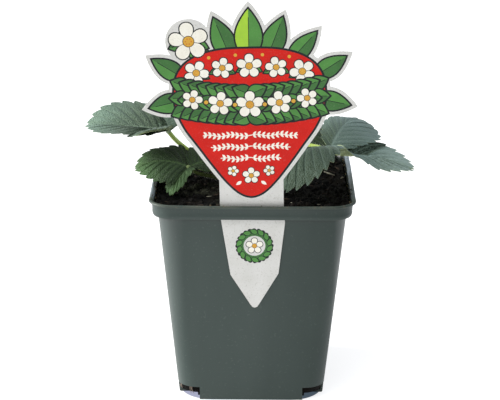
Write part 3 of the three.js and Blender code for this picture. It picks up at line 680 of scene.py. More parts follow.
# %% Leaflet surface
LEAVES = [
    dict(hub=(-48, 10, 143.1), root=(-4.6, 0.4), bend=[(-18, 13.5, 123.5), (-38, 19, 125.5)], leaflets=[
        dict(yaw=175, pitch=8, length=46.5, half=19.5, bend=-12, roll=-12, fold=18, wide=0.53, right=1.12,
             round_teeth=0.75, pleat=0.95, tone=(-1.95, -0.65, 0.4), dark=(1.7, 0.5)),
        dict(yaw=99, pitch=18, length=40, half=17.5, bend=-22, roll=2, fold=10, tone=(-0.9, -0.3, 0)),
        dict(yaw=236, pitch=19, length=29, half=12.5, bend=-22, roll=20, fold=5, teeth=7,
             tone=(-1.4, -1.1, -0.8))]),
    dict(hub=(-35.9, -10, 127.4), root=(-2.4, -4.1), shaded=0.75,
         bend=[(-14, -1, 121.8), (-30, -7, 120.6)], leaflets=[
        dict(yaw=182, pitch=30, length=30.5, half=16, bend=-60, roll=-21, fold=-4, wide=0.4, teeth=7,
             flare_right=(0.6, 0.5), tooth=0.1, round_teeth=0.7, pleat=0.65,
             tone=(-0.6, -0.25, 0.9), dark=(0, 0.9)),
        dict(yaw=246, pitch=-6, length=23, half=8, bend=-40, roll=20, wide=0.56, left=0.6, teeth=6,
             flare_left=(1.6, 0.5), tooth=0.085, pleat=0.7, tone=(-0.6, 0.2, 0.6)),
        dict(yaw=45, pitch=13, length=28, half=15.5, bend=-32, roll=18, fold=6, teeth=7,
             tone=(-0.6, -0.5, -0.4))]),
    dict(hub=(43, -6, 136.4), root=(4.6, 0.4), bend=[(6.6, 14, 130.8), (25, 7, 141.2)], leaflets=[
        dict(yaw=66, pitch=38, length=45, half=20.5, bend=-52, roll=12, fold=-4, wide=0.6, left=0.6,
             tooth=0.08, round_teeth=0.6, pleat=0.45, tone=(-0.6, -0.2, 0.2), dark=(0.9, 0)),
        dict(yaw=-8, pitch=-2, length=47, half=16, bend=-16, roll=16, fold=4, wide=0.59, left=0.9, right=0.5,
             furl_right=85, furl_reach=0.62, flare_left=(0.7, 0.7), flare_right=(3.4, 0.36), tooth=0.08,
             tone=(-0.6, 0.15, 1.35), dark=(0.2, 0), shade=(-1.9, 4.2), sag=1.7),
        dict(yaw=229, pitch=38, length=50, half=19.5, bend=-112, roll=-6, fold=4, fold_right=-24, wide=0.56,
             furl_left=30, flare_left=(0.35, 0.4), tooth=0.075, pleat=0.6,
             tone=(2.4, -1.5, -1.1), dark=(0.1, 2.2))]),
    dict(hub=(0, 34, 138.7), root=(0.4, 4.6), bend=[(-7, 14, 124), (-1, 32, 126)], leaflets=[
        dict(yaw=96, pitch=14, length=42, half=18, bend=-40, fold=10),
        dict(yaw=-4, pitch=12, length=46, half=16.5, bend=-52, roll=24, fold=6, teeth=7,
             tone=(-1.2, -1.2, -1.2)),
        dict(yaw=190, pitch=14, length=36, half=14.5, bend=-36, fold=8, teeth=7)]),
    dict(hub=(7, 8, 150.7), root=(-0.2, -0.1), bend=[(-7, 5.5, 124), (1, 5.5, 138)], leaflets=[
        dict(yaw=62, pitch=66, length=25, half=10, bend=-30, fold=42, teeth=6),
        dict(yaw=-40, pitch=50, length=21, half=8.5, bend=-30, fold=40, teeth=6),
        dict(yaw=165, pitch=50, length=21, half=8.5, bend=-30, fold=40, teeth=6)]),
]
TOOTH_DEPTH = 0.062
SAG_END = 0.42
BANDS = 14


def blade_surface(hub, shape):
    """A function from share of the length, share of the half width and height to a point."""
    yaw, start, bend = (radians(shape[k]) for k in ("yaw", "pitch", "bend"))
    roll_to = radians(shape.get("roll", 0))
    heading = Vector((cos(yaw), sin(yaw), 0))
    beside = Vector((-heading.y, heading.x, 0))
    up = Vector((0, 0, 1))
    radius = shape["length"] / bend
    half = shape["half"]

    def at(x, y, height):
        rise = start + bend * x
        point = Vector(hub) + heading * (radius * (sin(rise) - sin(start)))
        point -= up * (radius * (cos(rise) - cos(start)))
        if "sag" in shape and 0 < x < SAG_END:
            point -= up * (shape["sag"] * sin(pi * (x / SAG_END) ** 0.6))
        square = up * cos(rise) - heading * sin(rise)
        across = beside * cos(roll_to) + square * sin(roll_to)
        normal = square * cos(roll_to) - beside * sin(roll_to)
        side = (y > 0) - (y < 0)
        furl = shape.get("furl_left" if side >= 0 else "furl_right", 0)
        furl *= max(0.0, 1 - x / shape.get("furl_reach", 0.5)) ** 1.5
        fold = shape.get("fold", 0) if side > 0 else shape.get("fold_right", shape.get("fold", 0))
        lift = radians(fold + furl) if side else 0.0
        more, reach = shape.get("flare_left" if side >= 0 else "flare_right", (0, 1))
        out = abs(y) * half * shape.get("left" if side >= 0 else "right", 1)
        out *= 1 + more * max(0.0, 1 - x / reach)
        high = height - 0.08 * half * y * y
        point += across * (side * (out * cos(lift) - high * sin(lift)))
        return point + normal * (out * sin(lift) + high * cos(lift))

    return at


def margin_columns(shape):
    """From hub to tip: where a column starts on the midrib, where it ends, its bulge and its vein."""
    length, half = shape["length"], shape["half"]
    wide, teeth = shape.get("wide", 0.65), shape.get("teeth", 8)
    blunt = 0.45 if wide > 0.6 else 0.6
    rise = blunt * wide / (1 - wide)
    peak = wide ** rise * (1 - wide) ** blunt

    def edge(m):
        x = (1 - cos(pi * m)) / 2
        return x, x ** rise * max(0.0, 1 - x) ** blunt / peak

    first, tip = 0.24, 0.62
    step = (1 - first) / (teeth + 0.5)
    stops = [(m - first) / step for m in (0.045, 0.07, 0.1, 0.13, 0.16, 0.19, 0.215)]
    for tooth in range(teeth):
        stops += [tooth + tip * k / 7 for k in range(7)] + [tooth + tip + (1 - tip) * k / 5 for k in range(5)]
    stops += [teeth + 0.5 * k / 6 for k in range(7)]
    columns = []
    for v in stops:
        m = first + step * v
        x, y = edge(min(m, 1.0))
        if v <= 0:
            height, part = 0.35 * (1 - max(0.0, 1 + v)), (v + 2.4) / (2.4 + tip)
        elif v < teeth:
            f = v % 1.0
            height = (f / tip) ** 0.62 if f < tip else ((1 - f) / (1 - tip)) ** 0.8
            height **= shape.get("round_teeth", 1)
            part = (v + 2.4) / (2.4 + tip) if v < tip else (v - tip) % 1.0
        else:
            height, part = (v - teeth) / 0.5, (v - teeth + 1 - tip) / (1.5 - tip)
        if v > teeth - 1 + tip:
            part = (v - teeth + 1 - tip) / (1.5 - tip)
        if v < teeth:
            (xa, ya), (xb, yb) = edge(m - 1e-4), edge(m + 1e-4)
            along = Vector(((xb - xa) * length, (yb - ya) * half)).normalized()
            reach = shape.get("tooth", TOOTH_DEPTH) * length * (height - 0.4) * 0.75 * clamp(v + 1)
            x, y = x + (along.x - along.y) * reach / length, max(0.02, y + (along.y + along.x) * reach / half)
        elif v < teeth + 0.499:
            y = max(y, 0.02)
            x += 0.5 * TOOTH_DEPTH * height
        else:
            x, y = 1 + 0.5 * TOOTH_DEPTH, 0.0
        if v < 0:
            rib = 0.002 + 0.010 * (v + 2.4) / 2.4
        elif v < tip:
            rib = 0.012 + 0.008 * v / tip
        elif v < teeth - 1 + tip:
            rib = 0.02 + 0.62 * ((v - tip) / (teeth - 1)) ** 1.15
        else:
            rib = 0.64 + 0.24 * (v - teeth + 1 - tip) / (1.5 - tip)
        columns.append((rib, x, y, sin(pi * min(1.0, max(0.0, part))), v))
    return columns, teeth, tip


print("leaves:", len(LEAVES), "leaflets:", sum(len(leaf["leaflets"]) for leaf in LEAVES))

# %% [markdown]
# The blade is a closed thin body: an upper and a lower face a few tenths of a millimetre apart,
# sewn together along the teeth. On top the veins are grooves, below they are ridges, and the
# midrib is the strongest. The distance to the nearest vein is stored on each point, so that the
# colour of the veins follows the mesh and not the view, and so is a painted shade in the grooves
# along the veins and the midrib.

# %% Build the leaflets and join them at their hub
BLADE_PLEAT = 0.8
BLADE_THICK = 0.42
SKIN_VALUES = ("vein", "valley", "tone", "below")


def tone_at(shape, x, side, t):
    """How pale (up to 1) or deep (down to -2) the blade is at a place: own colour, painted light and painted
    shade.
    """
    hub_tone, middle, tip_tone = shape.get("tone", (-0.3, 0, 0.1))
    if x < 0.4:
        level = hub_tone + (middle - hub_tone) * sin(pi / 2 * max(0.0, x) / 0.4)
    else:
        level = middle + (tip_tone - middle) * (x - 0.4) / 0.6
    # Painted shade on each half, strongest towards the hub.
    darker = shape.get("dark", (0, 0))[0 if side > 0 else 1]
    level -= darker * min(1.0, 0.4 + 3 * t) * max(0.0, 1.15 - x) ** 2
    # The shadow of the leaflet above, painted past a slanting line.
    if "shade" in shape:
        start, slope = shape["shade"]
        level -= 2.8 * clamp(5 * (side * t - max(-0.12, start + slope * x)))
    return max(-2.0, level)


def leaflet(hub, shape, seed):
    """Points, faces, the values for the skin and the flat places of one leaflet."""
    at = blade_surface(hub, shape)
    columns, teeth, tip = margin_columns(shape)
    length, half = shape["length"], shape["half"]
    veins = {}
    for column in columns:
        i = round(column[4] - tip)
        if i in range(teeth) and abs(column[4] - tip - i) < 1e-6:
            veins[i] = column
    points, flat = [], []
    values = {key: [] for key in SKIN_VALUES}
    for face in (1, -1):
        for rib, x, y, bulge, v in columns:
            for b in range(-BANDS, BANDS + 1):
                t = abs(b) / BANDS
                side = (b > 0) - (b < 0)
                px, py = rib + (x - rib) * t ** 1.06, y * t
                nearest = 9.0
                for i in (floor(v - tip), ceil(v - tip)):
                    if i in veins:
                        r2, x2, y2, _, _ = veins[i]
                        gap = hypot((r2 + (x2 - r2) * t ** 1.06 - px) * length, (y2 * t - py) * half)
                        nearest = min(nearest, gap)
                middle = exp(-(py * half / 0.5) ** 2)
                lateral = exp(-(nearest / 0.3) ** 2) * (1 - 0.45 * t) * min(1.0, 4 * t + 0.3)
                groove = exp(-(nearest / 1.1) ** 2) * (1 - 0.5 * t)
                strength = max(middle, 0.75 * lateral)
                pleat = BLADE_PLEAT * shape.get("pleat", 1) * bulge * sin(pi * min(1.0, 0.92 * t + 0.1))
                wave = 0.5 * t * t * sin(v * 1.35 + seed + 1.7 * side) + 0.1 * min(1.0, 4 * t)
                thick = BLADE_THICK * (1 - 0.45 * t ** 3) / 2
                if face > 0:
                    height = pleat + wave + thick - 0.14 * strength
                else:
                    height = pleat + wave - thick - 0.3 * middle - 0.12 * lateral
                points.append(at(px, side * py, height))
                flat.append((px * length / 10, side * py * half / 10))
                # Painted shade in the grooves along the side veins and the midrib.
                valley = max(groove, 0.6 * exp(-(py * half / 1.3) ** 2))
                for key, value in zip(SKIN_VALUES, (strength, valley, tone_at(shape, px, side, t), face < 0)):
                    values[key].append(float(value))
    width, count = 2 * BANDS + 1, len(columns)
    faces = sheet_faces(count, width)
    rim = [c * width for c in range(count)]
    far = [c * width + width - 1 for c in range(count)]
    lower = count * width
    for line, flip in ((rim, False), (far, True), (list(range(width)), True)):
        for a, b in zip(line, line[1:]):
            quad = (a, b, b + lower, a + lower)
            faces.append(tuple(reversed(quad)) if flip else quad)
    return points, faces, values, flat


def hub_knob(hub):
    """A small smooth knob where the three leaflets meet the stalk."""
    ball = bmesh.new()
    bmesh.ops.create_uvsphere(ball, u_segments=14, v_segments=10, radius=1.55)
    points = [Vector(hub) + v.co for v in ball.verts]
    faces = [tuple(v.index for v in f.verts) for f in ball.faces]
    ball.free()
    return points, faces


def build_leaf(number, leaf):
    """Three leaflets and the knob where they meet, as one piece."""
    points, faces, flat = [], [], []
    values = {key: [] for key in SKIN_VALUES}
    for order, shape in enumerate(leaf["leaflets"]):
        more, quads, given, places = leaflet(leaf["hub"], shape, 2.1 * number + order)
        add_part(points, faces, more, quads)
        flat += places
        for key in values:
            values[key] += given[key]
    knob, knob_faces = hub_knob(leaf["hub"])
    add_part(points, faces, knob, knob_faces)
    flat += [(0.0, 0.0)] * len(knob)
    for key, value in zip(SKIN_VALUES, (0.9, 0.0, 0.0, 0.3)):
        values[key] += [value] * len(knob)
    values["flat_x"], values["flat_y"] = (list(side) for side in zip(*flat))
    skin = LEAF_SKINS[number - 1]
    piece = mesh_piece(f"leaf_blades_{number}", points, faces, [skin], crease=75, values=values)
    mesh = piece.data
    along, across = mesh.attributes["flat_x"].data, mesh.attributes["flat_y"].data
    layer = mesh.uv_layers.new(name="blade")
    for loop in mesh.loops:
        layer.data[loop.index].uv = (along[loop.vertex_index].value, across[loop.vertex_index].value)
    for key in ("flat_x", "flat_y"):
        mesh.attributes.remove(mesh.attributes[key])
    seat(piece, "leaf", f"leaf_{number}")


for number, leaf in enumerate(LEAVES, 1):
    build_leaf(number, leaf)

# %% [markdown]
# ## Leaf stalks
# A stalk is a fleshy green tube with a shallow groove on top, thicker and redder where it leaves
# the crown, and covered with soft white hairs that stand out from it. The tube is swept along
# the same curve as the solid's. The hairs are fine cones scattered by a second tree.

# %% Stalk skin and tubes
stalk_skin, tree, shader, place = principled("leaf_stalk_skin", "#8fa35c", 0.5, {
    "Specular IOR Level": 0.4, "Subsurface Weight": 0.15, "Subsurface Radius": (0.001, 0.0015, 0.0005)})
climb, shaded = (add_node(tree, ATTRIBUTE, (), "Fac", attribute_name=key) for key in ("climb", "shaded"))
low_part, high_part = (add_node(tree, RAMP, row) for row in ((climb, 0.0, 0.22), (climb, 0.5, 1.0)))
green = layered(tree, "#8ea446", (high_part, "#a8bd5c"))
streaky = pattern(place, 1.2, 0.4, 0.7)
# A stalk marked shaded gets a painted darker colour, as shade under its leaf.
feed(shader, {"Base Color": layered(
    tree, "#8c5a44", (low_part, green), (shaded, "#39432a"), (streaky, 0.3, "#71883f"))})
relief(shader, pattern(place, 0.5, 0.3, 0.7), 0.04)

STALK_START = 112.3
STALK_LOW, STALK_TOP = 1.6, 1.3


def stalk_line(leaf, steps):
    """Even points along the stalk's curve, from the crown up into the hub."""
    root = Vector((CROWN_X + leaf["root"][0], CROWN_Y + leaf["root"][1], STALK_START))
    first, second, hub = (Vector(p) for p in (*leaf["bend"], leaf["hub"]))
    end = hub + (second - hub).normalized() * 0.6
    line = []
    for k in range(steps + 1):
        t = k / steps
        line.append(root * (1 - t) ** 3 + first * (3 * t * (1 - t) ** 2)
                    + second * (3 * t * t * (1 - t)) + end * t ** 3)
    return line


def stalk_radius(t):
    """A stalk's radius, from where it leaves the crown to its top."""
    return STALK_TOP + (STALK_LOW + 0.25 - STALK_TOP) * (1 - t) ** 3


def tube(line, radius_at, sides, groove=0.0):
    """Points, faces and climb of a closed tube along a line."""
    points, climb = [], []
    normal = Vector((0, 0, 1))
    for k, centre in enumerate(line):
        t = k / (len(line) - 1)
        ahead = (line[min(k + 1, len(line) - 1)] - line[max(k - 1, 0)]).normalized()
        normal = (normal - ahead * normal.dot(ahead)).normalized()
        cross = ahead.cross(normal)
        for s in range(sides):
            angle = 2 * pi * s / sides
            radius = radius_at(t) * (1 - groove * exp(-(min(angle, 2 * pi - angle) / 0.5) ** 2))
            points.append(centre + normal * (radius * cos(angle)) + cross * (radius * sin(angle)))
            climb.append(t)
    ends = [tuple(reversed(range(sides))), tuple(range((len(line) - 1) * sides, len(line) * sides))]
    return points, ring_faces(len(line), sides) + ends, climb


stalk_pieces = []
for number, leaf in enumerate(LEAVES, 1):
    points, faces, climb = tube(stalk_line(leaf, 44), stalk_radius, 16, groove=0.2)
    stalk_pieces.append(mesh_piece(f"leaf_stalk_{number}", points, faces, [stalk_skin], crease=70, values={
        "climb": climb, "shaded": [leaf.get("shaded", 0.0)] * len(points)}))
    seat(stalk_pieces[-1], "stalk", f"petiole_{number}")

# %% [markdown]
# ### Hairs
# Strawberry stalks are hairy. Each hair is a cone a tenth of a millimetre thick and about one
# long. Real hairs are thinner, but then they would vanish at this size.

# %% A tree that grows hairs
hair_skin = principled("plant_hair", "#e4e9d6", 0.5)[0]
hair_tree, given = new_tree("grow_hairs", ["Per square metre", "Hair length", "Hair radius"])
spots = add_node(hair_tree, "GeometryNodeDistributePointsOnFaces", {
    "Mesh": given["Surface"], "Density": given["Per square metre"], "Seed": given["Seed"]}, "Points")
hair = add_node(hair_tree, "GeometryNodeMeshCone", {
    "Vertices": 3, "Side Segments": 1, "Fill Segments": 1, "Radius Top": 0.0,
    "Radius Bottom": given["Hair radius"], "Depth": given["Hair length"]}, "Mesh")
lean = add_node(hair_tree, "FunctionNodeRandomValue", {
    0: (-0.55, -0.55, -3), 1: (0.55, 0.55, 3)}, data_type="FLOAT_VECTOR")
grown = add_node(hair_tree, "FunctionNodeRandomValue", {2: 0.5, 3: 1.2, "Seed": 4}, 1, data_type="FLOAT")
hairs = add_node(hair_tree, "GeometryNodeInstanceOnPoints", {
    "Points": spots, "Instance": hair, "Rotation": spots.node.outputs["Rotation"], "Scale": grown})
leaning = add_node(hair_tree, "GeometryNodeRotateInstances", {"Instances": hairs, "Rotation": lean})
close_tree(hair_tree, given, leaning)
for number, stalk in enumerate(stalk_pieces, 1):
    seat(run_tree(f"stalk_hairs_{number}", hair_tree, stalk, hair_skin, 10 + number, {
        "Per square metre": 1100000.0, "Hair length": 1.1 * MM, "Hair radius": 0.045 * MM}), "stalk")

# %% [markdown]
# ## Crown
# The crown is a stub of short brown stem wrapped in the papery bases of old stalks. A turned
# body gives its mass, and pointed scales lean against it.

# %% Crown and its scales
crown_skin, shader, _, ridges = mottled(
    "crown_bark", "#6b4a33", 0.85, "#3c281b", "#80583c", 1.5, 0.35, 0.7, detail=5.0)
relief(shader, ridges, 0.5)
scale_skin, shader, _, fibres = mottled(
    "papery_stipule", "#9c6446", 0.6, "#7a4230", "#b98961", 0.5, 0.35, 0.7, upright=0.15)
relief(shader, fibres, 0.1)

# Radius and height
CROWN_PROFILE = [(0.3, 103.5), (3.4, 103.9), (5.6, 107.5), (7.2, 111), (7.2, 113.5), (6.6, 115.5),
                 (5.4, 116.5), (3.4, 117.1), (0.3, 117.3)]
CROWN_SIDES = 40
SCALES = 9
rings = []
for radius, z in CROWN_PROFILE:
    ring = []
    for k in range(CROWN_SIDES):
        angle = 2 * pi * k / CROWN_SIDES
        lump = 1 + 0.07 * noise.noise(Vector((cos(angle) * 2, sin(angle) * 2, z * 0.2)))
        ring.append((CROWN_X + radius * lump * cos(angle), CROWN_Y + radius * lump * sin(angle), z))
    rings.append(ring)
points, faces = loft(rings, (CROWN_X, CROWN_Y, 103.5), (CROWN_X, CROWN_Y, 117.3))
seat(mesh_piece("crown_stub", points, faces, [crown_skin], crease=80), "crown", "crown")


def crown_scale(angle, width, height, lean):
    """A pointed, curved scale that stands against the crown."""
    points = []
    rows, across = 8, 6
    for layer in (0, 1):
        for r in range(rows + 1):
            t = r / rows
            for c in range(across + 1):
                s = 2 * c / across - 1
                turn = angle + s * width * (1 - t) ** 0.7 / 6.5
                radius = 6.9 - lean * t * t + 0.35 * layer + 0.4 * s * s * t
                points.append((CROWN_X + radius * cos(turn), CROWN_Y + radius * sin(turn),
                               112.1 + height * t + 0.2 * layer))
    row = across + 1
    faces = sheet_faces(rows + 1, row)
    border = list(range(row)) + [r * row + across for r in range(1, rows + 1)]
    border += [rows * row + c for c in range(across - 1, -1, -1)] + [r * row for r in range(rows - 1, 0, -1)]
    sheet = (rows + 1) * row
    for a, b in zip(border, border[1:] + border[:1]):
        faces.append((a, b, b + sheet, a + sheet))
    return points, faces


points, faces = [], []
for k in range(SCALES):
    angle = radians(360 / SCALES * k + 13 * sin(3 * k))
    add_part(points, faces, *crown_scale(angle, 3.1, 5.5 + 1.5 * sin(5 * k), 1.8))
seat(mesh_piece("crown_scales", points, faces, [scale_skin], crease=60), "crown")

# %% [markdown]
# ## The label: paper and inks
# The label is a die-cut card, printed on its front. The card is recycled, so fine grey and tan
# flecks show in its white. Offset ink lies in the paper and keeps a little of that grain.

# %% Card and inks
def card_ink(name, colour, second, roughness, flecks):
    """Card or ink on card: two close tones, with the paper's flecks showing through."""
    material, tree, shader, place = principled(name, colour, roughness, {"Specular IOR Level": 0.2})
    soft, fleck = pattern(place, 4, 0.35, 0.68), pattern(place, 0.35, 0.6, 0.72, detail=1.0)
    feed(shader, {"Base Color": layered(tree, colour, (soft, second), (fleck, flecks, "#8d8a7e"))})
    relief(shader, pattern(place, 0.5, 0.3, 0.7), 0.01)
    return material


INKS = {key: card_ink(*row) for key, *row in (
    ("card", "recycled_card", "#cdcdca", "#c6c6c2", 0.6, 0.35),
    ("red", "red_ink", "#c81608", "#bd1307", 0.5, 0.1),
    ("green", "green_ink", "#4f8a41", "#477d3c", 0.42, 0.12),
    ("dark_green", "dark_green_ink", "#3d6d38", "#376333", 0.42, 0.12),
    ("lime", "lime_ink", "#9fc93a", "#94bd38", 0.42, 0.1),
    ("black", "black_ink", "#171c1e", "#12171a", 0.38, 0.08),
    ("cream", "cream_ink", "#e9e7dc", "#e2dfd2", 0.5, 0.2),
    ("yellow", "yellow_ink", "#d0a23c", "#c79836", 0.45, 0.12),
    ("orange", "orange_ink", "#c8782e", "#bd6e2a", 0.45, 0.12))}
INK_ORDER = list(INKS)
print("inks:", len(INKS))

# %% [markdown]
# ## The label: shapes
# The print is a flat pattern of leaves and blossoms, drawn as closed outlines on the label's own
# plane, with u to the right and v up from the slot. Later outlines lie over earlier ones. A
# keyline is the same outline a little larger, in black, under the colour.

# %% Motifs
FIELD = [(0, 95), (14, 94.5), (25, 92), (33, 87.5), (38, 81), (40, 72.5), (39.3, 62), (35, 51), (28, 40.5),
         (20.5, 29.5), (13.2, 19.8), (6.5, 13.3), (0, 11)]
FAN = [((0, 88), 90, 28, 7.2), ((9, 88), 69, 25, 6), ((20, 86), 48, 23, 5), ((33, 78), 33, 21, 5.2),
       ((33, 67), -13, 20.5, 5.4)]
BORDER = 2.2
LEAF_STEPS = 14
PETALS = 5
print_list = []


def stamp(ink, outline):
    """Adds a closed outline, turned anticlockwise, in the order of printing."""
    turn = sum(a[0] * b[1] - b[0] * a[1] for a, b in zip(outline, outline[1:] + outline[:1]))
    print_list.append((ink, [(float(u), float(v)) for u, v in (outline if turn > 0 else outline[::-1])]))


def mirrored(outline):
    """The same outline on the label's other half."""
    return [(-u, v) for u, v in reversed(outline)]


def turned(start, angle, along, wide=0.0):
    """The place reached by going along a direction and then to its left."""
    c, s = cos(angle), sin(angle)
    return start[0] + along * c - wide * s, start[1] + along * s + wide * c


def smooth_field(grow):
    """The field's whole outline, rounded by splines and grown outwards."""
    whole = FIELD + mirrored(FIELD[1:-1])
    dense = []
    for i in range(len(whole)):
        a, b, c, d = (Vector(whole[(i + k - 1) % len(whole)]) for k in range(4))
        for k in range(6):
            t = k / 6
            dense.append(0.5 * ((2 * b) + (c - a) * t + (2 * a - 5 * b + 4 * c - d) * t * t
                                + (3 * b - a - 3 * c + d) * t ** 3))
    grown = []
    for i, p in enumerate(dense):
        along = (dense[(i + 1) % len(dense)] - dense[i - 1]).normalized()
        grown.append((p.x - along.y * grow, p.y + along.x * grow))
    return grown


def leaf_outline(start, angle, length, half, grow, steps=LEAF_STEPS):
    """A plain pointed leaf from its base point: its right side out, then its left side back."""
    outline = []
    for i in list(range(steps + 1)) + list(range(steps - 1, 0, -1)):
        side = -1 if len(outline) <= steps else 1
        wide = side * (half + grow) * sin(pi * (i / steps) ** 0.85) ** 0.9
        outline.append(turned(start, radians(angle), -grow + (length + 2.6 * grow) * (i / steps), wide))
    return outline


def ribbon(line, width):
    """A line of points as a thin band."""
    left, right = [], []
    for i, p in enumerate(line):
        a, b = Vector(line[max(i - 1, 0)]), Vector(line[min(i + 1, len(line) - 1)])
        along = (b - a).normalized()
        left.append((p[0] - along.y * width / 2, p[1] + along.x * width / 2))
        right.append((p[0] + along.y * width / 2, p[1] - along.x * width / 2))
    return left + right[::-1]


def disc(u, v, radius, steps=28):
    """A round outline."""
    return [turned((u, v), 2 * pi * k / steps, radius) for k in range(steps)]


def printed_leaf(start, angle, length, half, key=0.55, body="green", shade="dark_green"):
    """A leaf with its keyline, a darker half and a midrib."""
    stamp("black", leaf_outline(start, angle, length, half, key))
    stamp(body, leaf_outline(start, angle, length, half, -0.35))
    stamp(shade, leaf_outline(start, angle, length, half, -0.35)[:LEAF_STEPS + 1])
    stamp("black", ribbon([turned(start, radians(angle), length * k) for k in (0.08, 0.45, 0.82)], 0.35))


def petal(u, v, angle, radius, grow):
    """A rounded petal from near the blossom's middle to its rim."""
    outline = []
    for k in range(18):
        turn = 2 * pi * k / 18
        along = radius * (0.56 - 0.44 * cos(turn)) - grow * cos(turn)
        wide = (0.33 * radius + grow) * sin(turn) * (1 - 0.25 * cos(turn))
        outline.append(turned((u, v), angle, along, wide))
    return outline


def blossom(u, v, radius, turn=90.0, key=0.5):
    """A five-petalled blossom: keylines first, then petals, then the yellow middle."""
    angles = [radians(turn + 360 * k / PETALS) for k in range(PETALS)]
    for ink, grow in (("black", key), ("cream", 0)):
        for angle in angles:
            stamp(ink, petal(u, v, angle, radius, grow))
    for angle in angles:
        between = angle + pi / PETALS
        stamp("black", ribbon([turned((u, v), between, k * radius) for k in (0.2, 0.62)], 0.3))
    stamp("black", disc(u, v, 0.27 * radius + 0.6 * key, 20))
    stamp("yellow", disc(u, v, 0.27 * radius, 20))
    for k in range(6):
        away = (0.15 * radius * cos(k), 0.15 * radius * sin(k * 1.05))
        stamp("orange", disc(u + away[0], v + away[1], 0.045 * radius, 6))


print("motifs ready")

# %% [markdown]
# ### The layout
# The card's outline comes from the field, the stake and the fan of leaves, each with its white
# border. On it come the fan, the red field, a garland of leaves and blossoms across the middle,
# a row of blossoms above, sprigs below and a small wreath on the tongue in front of the pot.

# %% Card outline and printed layout
STAKE = [(17.1, 60), (-17.1, 60), (-17.1, 0.6), (-16.7, -2.4), (-12.4, -34.6), (-1.9, -52.8), (-0.8, -54.4),
         (0.5, -54.9), (1.8, -54.4), (2.9, -52.8), (13.8, -34.3), (17.7, -4.0), (17.5, -2.2), (17.1, 0.6)]
stamp("card", smooth_field(BORDER))
stamp("card", STAKE)
for leaf in FAN:
    stamp("card", leaf_outline(*leaf, BORDER))
    stamp("card", mirrored(leaf_outline(*leaf, BORDER)))
stamp("card", disc(-31, 98.5, 12, 40))

for start, angle, length, half in reversed(FAN[1:]):
    printed_leaf(start, angle, length, half)
    printed_leaf((-start[0], start[1]), 180 - angle, length, half)
printed_leaf(*FAN[0], body="lime", shade="green")

stamp("black", smooth_field(0.35))
stamp("red", smooth_field(-0.8))

for k, u in enumerate((-27.5, -14, 0, 14, 27.5)):
    v = 84.8 - 0.0045 * u * u
    printed_leaf((u, v), 205, 7.6, 1.9, key=0.35)
    printed_leaf((u, v), -25, 7.6, 1.9, key=0.35)
    blossom(u, v, 5.6 if k % 2 else 6.6, turn=90 + 12 * (k - 2))
for u, v in ((-20.8, 89.6), (-7, 90.8), (7, 90.8), (20.8, 89.6)):
    stamp("yellow", disc(u, v, 0.9, 12))

for side in (-1, 1):
    for k in range(7, -1, -1):
        u = side * (2.5 + 4.6 * k)
        for tilt, v in ((24, 68.6), (-24, 58.4), (0, 63.5)):
            start = (u - side * 4, v + 0.0035 * u * u)
            printed_leaf(start, tilt if side > 0 else 180 - tilt, 11.5, 4.1, key=0.45)
for k, u in enumerate((-30, -15.5, 0, 15.5, 30)):
    blossom(u, 63.6 + 0.0035 * u * u, (5.4, 6.4, 7.4)[2 - abs(k - 2)], turn=90 + 9 * (k - 2))
for u in (-22.8, -7.8, 7.8, 22.8):
    stamp("black", disc(u, 63.4 + 0.0035 * u * u, 1.55, 16))
    stamp("yellow", disc(u, 63.4 + 0.0035 * u * u, 1.1, 16))

for row, (v, reach) in enumerate(((46.5, 25), (40, 21), (33.5, 16))):
    line = [(u, v + 0.5 * sin(u * 0.5 + row)) for u in [reach * (k / 12 - 1) for k in range(25)]]
    stamp("cream", ribbon(line, 0.5))
    for k in range(int(reach / 2.4)):
        for side in (-1, 1):
            u = side * (1.4 + 2.4 * k)
            start = (u, v + 0.5 * sin(u * 0.5 + row))
            for tilt in (48, -48):
                stamp("cream", leaf_outline(start, tilt if side > 0 else 180 - tilt, 2.5, 0.62, 0, 6))
blossom(0, 23.6, 4.6, turn=90, key=0.4)
for side in (-1, 1):
    blossom(side * 9.6, 26.4, 3.0, turn=90 + 20 * side, key=0.35)
    stamp("cream", leaf_outline((side * 5.2, 20.4), 215 if side < 0 else -35, 3.6, 0.9, 0, 6))

printed_leaf((-31, 98.5), 200, 11.2, 3.6, key=0.4)
printed_leaf((-31, 98.5), -20, 11.2, 3.6, key=0.4)
blossom(-31, 98.5, 10.2, turn=98, key=0.6)

WREATH = (1.0, -17.5)
for k in range(24):
    stamp("black", disc(*turned(WREATH, radians(15 * k), 9.2), 1.25, 10))
stamp("dark_green", disc(*WREATH, 9.3, 44))
stamp("card", disc(*WREATH, 5.9, 44))
for k in range(14):
    turn = 360 / 14 * k
    start = turned(WREATH, radians(turn), 7.6)
    stamp("black", leaf_outline(start, turn + 75, 4.4, 1.3, 0.25, 8))
    stamp("green", leaf_outline(start, turn + 75, 4.4, 1.3, -0.1, 8))
blossom(*WREATH, 4.6, turn=90, key=0.35)
print("outlines on the label:", len(print_list))

# %% [markdown]
# ### From outlines to one printed card
# A constrained Delaunay triangulation cuts the plane along all outlines at once and tells which
# outlines each triangle lies in. The last printed one gives its ink. So the print has no
# thickness and no two faces share a place. The front is then closed with a back and cut sides.

# %% Build the card
CARD_FRONT, CARD_BACK = 0.7, 0.05
LABEL_TILT, LABEL_GAP = 1.4, 0.35
tilt_by = radians(LABEL_TILT)
plane_u, plane_v = Vector((1, 0, 0)), Vector((0, -sin(LEAN), cos(LEAN)))
to_front = Vector((0, -cos(LEAN), -sin(LEAN)))
label_u = plane_u * cos(tilt_by) + plane_v * sin(tilt_by)
label_v = plane_v * cos(tilt_by) - plane_u * sin(tilt_by)
label_y = -(WALL_TOP + (LABEL_Z - BAND_LOW) * DRAFT + LABEL_GAP / cos(LEAN))
label_start = Vector((LABEL_X, label_y, LABEL_Z))


